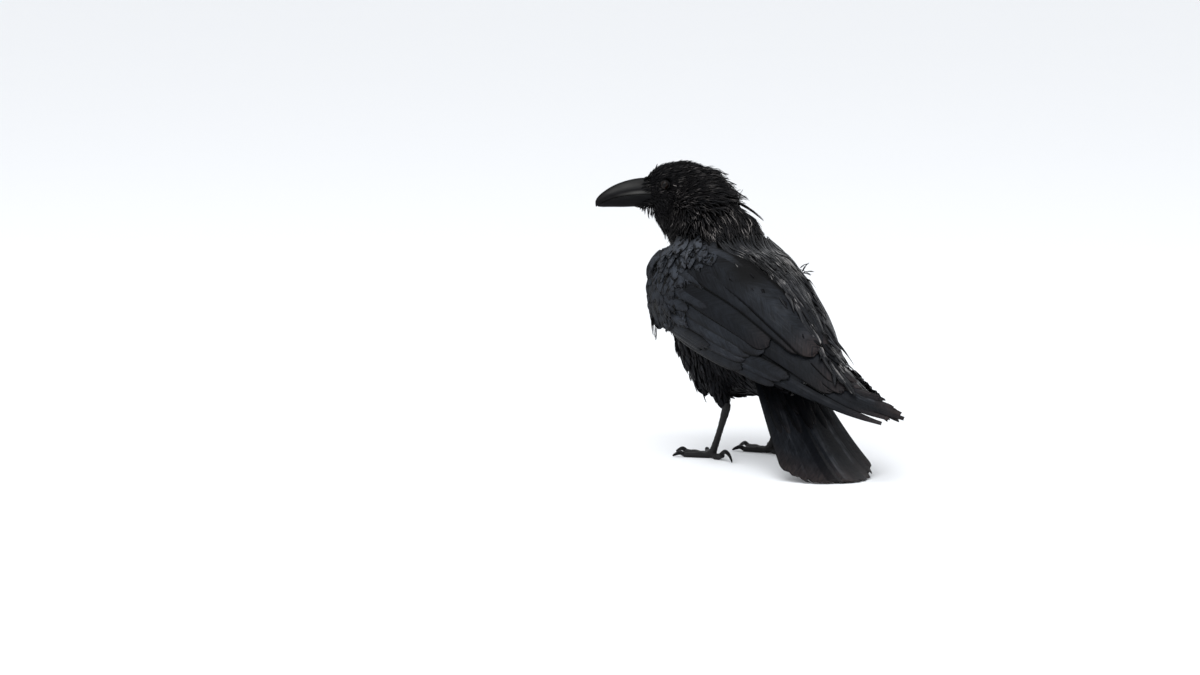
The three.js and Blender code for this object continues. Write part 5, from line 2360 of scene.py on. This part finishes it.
BACK_TUFTS = (
    ((-48, 56, 217), (-49, 70, 227)), ((-48, 60, 214), (-50, 80, 217)), ((-48, 56, 215), (-49, 74, 213)),
)


@dataclass
class Plumage:
    """All the feathers of head, neck, trunk and thighs."""

    body: Body

    def build(self, shop: Workshop, head: Material, trunk: Material, mantle: Material) -> None:
        """Covers the body tract by tract.

        Args:
            shop: places the pieces.
            head: finish of the head's and neck's feathers.
            trunk: finish of the body's.
            mantle: finish of the wet feathers over the wings' upper edges.
        """
        lock, lens = Template(6, LOCK), Template(6, LENS)
        # root, widest, tip, sharp, end, fray, thick, camber and sweep of each kind of feather
        down = Plume(lock, 0.7, 0.3, 0.6, 0.9, 0.03, 0.1, 0.22, 0.0, 0.1)
        hair = Plume(lock, 0.7, 0.3, 0.7, 0.9, 0.02, 0.1, 0.35, 0.0, 0.35)
        wisp = Plume(lock, 0.55, 0.35, 0.75, 0.9, 0.02, 0.1, 0.6, 0.0, 1.3)
        blade = Plume(lens, 0.55, 0.4, 0.5, 0.75, 0.1, 0.22, 0.35, 0.16, 0.3)
        spear = Plume(Template(9, LENS), 0.5, 0.4, 0.65, 0.85, 0.05, 0.25, 0.4, 0.16, 1.2)
        lance = Plume(Template(12, LENS), 0.5, 0.35, 0.6, 0.8, 0.06, 0.2, 0.4, 0.14, 1.8)
        for seed, finish, tract in (  # spacing, size, broad, rise, stray and wet of each tract
            (11, head, Tract("face", down, on_face, 0.15, 0.9, 1.0, 1.5, 0.14, 0.05)),
            (12, head, Tract("crown", hair, on_crown, 0.11, 1.0, 1.0, 2.1, 0.16, 0.35)),
            (13, head, Tract("neck", wisp, on_neck, 0.075, 1.15, 0.75, 0.45, 0.2, 0.9)),
            (14, trunk, Tract("back", spear, on_back, 0.13, 1.1, 1.1, 1.0, 0.16, 0.5)),
            (17, mantle, Tract("mantle", lance, on_mantle, 0.07, 1.4, 0.95, 0.4, 0.12, 0.9, True)),
            (15, trunk, Tract("trunk", blade, on_trunk, 0.13, 1.0, 1.1, 1.0, 0.16, 0.2)),
            (16, trunk, Tract("thighs", blade, on_thigh, 0.16, 1.0, 1.0, 1.0, 0.15, 0.1)),
        ):
            coat = Coat(f"coat_{tract.name}", seed)
            tract.feather(self.body, coat)
            if tract.name == "face":
                Bill().bristles(coat, hair)
                Bill().chin(coat, hair)
                self.forehead(coat, down)
            if tract.name == "neck":
                self.spikes(coat, wisp)
            coat.make(shop, finish)

    def forehead(self, coat: Coat, plume: Plume) -> None:
        """Adds the short wet points that stand up over the forehead, and its longer tufts.

        Args:
            coat: the piece that they join.
            plume: their form.
        """
        rng = coat.rng
        for k in range(64):
            ahead = 44 - 0.72 * k + rng.uniform(-0.6, 0.6)
            left = rng.uniform(-6, 6)
            above = np.interp(ahead, (0, 10, 20, 30, 38, 44), (26, 25, 22.5, 18, 13.5, 9.5))
            above -= 0.06 * left * left
            reach = np.interp(ahead, (0, 20, 32, 44), (8, 9, 9, 5)) * rng.uniform(0.7, 1.2)
            back = np.interp(ahead, (0, 30, 44), (-1.5, -0.7, -0.35))
            way = unit(plain(back + rng.normal(0, 0.15), left * 0.05, 0.9))
            root = plain(ahead, left, above)
            Spike(on_head(*root), on_head(*(root + way * reach)), 3.4, 4, 0.9, 0.2).lay(coat, plume, HEAD_UP)
        for root, tip in FOREHEAD_TUFTS:
            Spike(on_head(*root), on_head(*tip), 2.8, 5, 0.9, 0.2).lay(coat, plume, HEAD_UP)

    def spikes(self, coat: Coat, plume: Plume) -> None:
        """Adds the wet points that stand out of nape, throat, flanks and back.

        Args:
            coat: the piece that they join.
            plume: their form.
        """
        for root, tip, width, locks in NAPE_TUFTS:
            Spike(on_head(*root), on_head(*tip), width, locks, 1.5).lay(coat, plume, HEAD_UP)
        for root, tip in THROAT_TUFTS:
            Spike(on_head(*root), on_head(*tip), 2.6, 7, 1.9, 0.1).lay(coat, plume, HEAD_AHEAD)
        for root, tip in FLANK_TUFTS:
            Spike(plain(*root), plain(*tip), 3.8, 5, 2.0).lay(coat, plume, plain(0.6, -0.6, 0))
        for root, tip in BACK_TUFTS:
            Spike(plain(*root), plain(*tip), 3.0, 3, 1.6).lay(coat, plume, plain(0, 0.2, 1))


# ---------------------------------------------------------------- stage


@dataclass
class Studio:
    """Pale floor, soft light and the camera."""

    azimuth: float = math.radians(142)
    elevation: float = math.radians(8)
    distance: float = 8.0
    frame_width: float = 1.38  # metres across the view at the bird
    sensor: float = 36.0
    foot_right: float = 0.1288  # metres from the view's middle to the left foot
    foot_down: float = 0.1386
    floor_radius: float = 60.0
    floor_sides: int = 96
    lit_height: float = 0.18  # of what the lights face

    def camera(self, shop: Workshop) -> None:
        """Creates the camera and makes it the scene's own.

        Args:
            shop: tells where the left foot is in the frame.
        """
        a, e = self.azimuth, self.elevation
        back = Vector((math.sin(a) * math.cos(e), -math.cos(a) * math.cos(e), math.sin(e)))
        right = Vector((math.cos(a), math.sin(a), 0))
        up = back.cross(right)
        foot = Vector(shop.to_frame(np.array([*FOOT_PLACE["left"], 0.0])))
        aim = foot - right * self.foot_right + up * self.foot_down
        data = bpy.data.cameras.new("camera")
        data.sensor_width = self.sensor
        data.lens = self.sensor * self.distance / self.frame_width
        data.clip_end = 200
        camera = in_scene("camera", data)
        camera.location = aim + back * self.distance
        camera.rotation_euler = back.to_track_quat("Z", "Y").to_euler()
        bpy.context.scene.camera = camera

    def light(
        self, name: str, place: Sequence[float], size: float, power: float, colour: Sequence[float],
    ) -> None:
        """Adds a square soft light that faces the bird.

        Args:
            name: the lamp's name.
            place: where it hangs, in metres.
            size: its side's length, in metres.
            power: in watts.
            colour: red, green and blue.
        """
        data = bpy.data.lights.new(name, "AREA")
        data.size = size
        data.energy = power
        data.color = colour
        lamp = in_scene(name, data)
        lamp.location = place
        away = Vector(place) - Vector((0, 0, self.lit_height))
        lamp.rotation_euler = away.to_track_quat("Z", "Y").to_euler()

    def build(self, shop: Workshop) -> None:
        """Sets up floor, world, lights and camera.

        Args:
            shop: tells where the bird is in the frame.
        """
        self.camera(shop)
        bm = bmesh.new()
        bmesh.ops.create_circle(bm, cap_ends=True, segments=self.floor_sides, radius=self.floor_radius)
        mesh = from_bmesh(bm, "floor")
        floor = Shader("studio_floor")
        grain = floor.noise(floor.object_place(), 3.0)
        colour = floor.mix(grain * 0.25, tint(0.885, 0.89, 0.90), tint(0.86, 0.865, 0.875))
        floor.set(Base_Color=colour, Roughness=0.9)
        mesh.materials.append(floor.material)
        piece = in_scene("floor", mesh)
        world = bpy.data.worlds.new("studio")
        world.use_nodes = True
        background = world.node_tree.nodes["Background"]
        background.inputs["Color"].default_value = tint(0.955, 0.975, 1.0)
        background.inputs["Strength"].default_value = 1.0
        bpy.context.scene.world = world
        bpy.context.scene.view_settings.view_transform = "Standard"
        self.light("top_light", (1.2, 0.9, 3.0), 2.4, 60.0, (0.96, 0.98, 1.0))
        self.light("side_light", (2.6, 0.6, 1.9), 1.6, 16.0, (0.94, 0.97, 1.0))


HEAD_FEATHERS = FeatherFinish(
    "raven_head_feathers", painted_sheen=0.05, rough=0.55, barb_mm=0.9, barb_depth=0.03, clump_depth=0.1, wear=0.2,
    edge=(0.3, 0.9), edge_shade=0.8, gleam=2.2, glossy=0.08, pale=tint(0.22, 0.20, 0.19),
)
BODY_FEATHERS = FeatherFinish(
    "raven_body_feathers", painted_sheen=0.12, rough=0.55, barb_mm=1.0, barb_depth=0.04, clump_depth=0.2, wear=0.3,
    edge=(0.3, 0.9), edge_shade=0.85, gleam=0.7, glossy=0.05, pale=tint(0.066, 0.069, 0.077),
)
MANTLE_FEATHERS = FeatherFinish(
    "raven_mantle_feathers", painted_sheen=0.35, rough=0.46, barb_mm=1.0, barb_depth=0.04, clump_depth=0.25,
    wear=0.2, edge=(0.3, 0.9), edge_shade=0.9, gleam=1.4, glossy=0.10, shoulder_highlight=0.5,
    pale=tint(0.19, 0.18, 0.175),
)
COVERTS = FeatherFinish(
    "raven_wing_coverts", painted_sheen=0.84, rough=0.52, barb_mm=1.0, clump_depth=0.2, wear=0.2, edge=(0.6, 1.0),
    edge_shade=0.95, gleam=0.5, glossy=0.09, shoulder_highlight=0.7, pale=tint(0.100, 0.106, 0.120),
)
SMALL_COVERTS = FeatherFinish(
    "raven_shoulder_feathers", painted_sheen=0.95, rough=0.55, barb_mm=0.9, barb_depth=0.04, clump_depth=0.3,
    wear=0.4, edge=(0.8, 1.0), edge_shade=0.1, gleam=0.5, glossy=0.09, shoulder_highlight=0.8, slit_shadow=0.85,
    pale=tint(0.100, 0.106, 0.120),
)
QUILLS = FeatherFinish(
    "raven_quills", painted_sheen=0.58, barb_mm=1.2, clump_depth=0.2, wear=0.9, edge=(0.82, 0.97), edge_shade=1.0,
    gleam=0.8, glossy=0.07, shoulder_highlight=0.8, worn=tint(0.036, 0.026, 0.024), pale=tint(0.070, 0.075, 0.086),
)
BILL_HORN = HornFinish("raven_bill_horn", pale_edge_and_reflection=0.9, rough=0.36)
CLAW_HORN = HornFinish("raven_claw_horn", rubbed=tint(0.012, 0.012, 0.013), rough=0.28)


def main() -> None:
    """Builds the bird and its stage, and logs how many faces and feathers the pieces have."""
    logging.basicConfig(level=logging.INFO, format="%(message)s")
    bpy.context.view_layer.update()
    shop = Workshop()
    trunk, quills, coverts, small_coverts, scales, claws = (
        finish.make(shop)
        for finish in (BODY_FEATHERS, QUILLS, COVERTS, SMALL_COVERTS, ScaleFinish(), CLAW_HORN)
    )
    body = Body()
    body.build(shop)
    body.make_skin(shop, SkinFinish().make(shop))
    Plumage(body).build(shop, HEAD_FEATHERS.make(shop), trunk, MANTLE_FEATHERS.make(shop))
    for side in Side:
        Wing(side).build(shop, small_coverts, coverts, quills)
    Tail().build(shop, quills, trunk)
    Bill().build(shop, BILL_HORN.make(shop))
    for side in Side:
        Eye(side).build(shop)
        Leg(side).build(shop, scales, claws)
    Studio().build(shop)


if __name__ == "__main__":
    main()
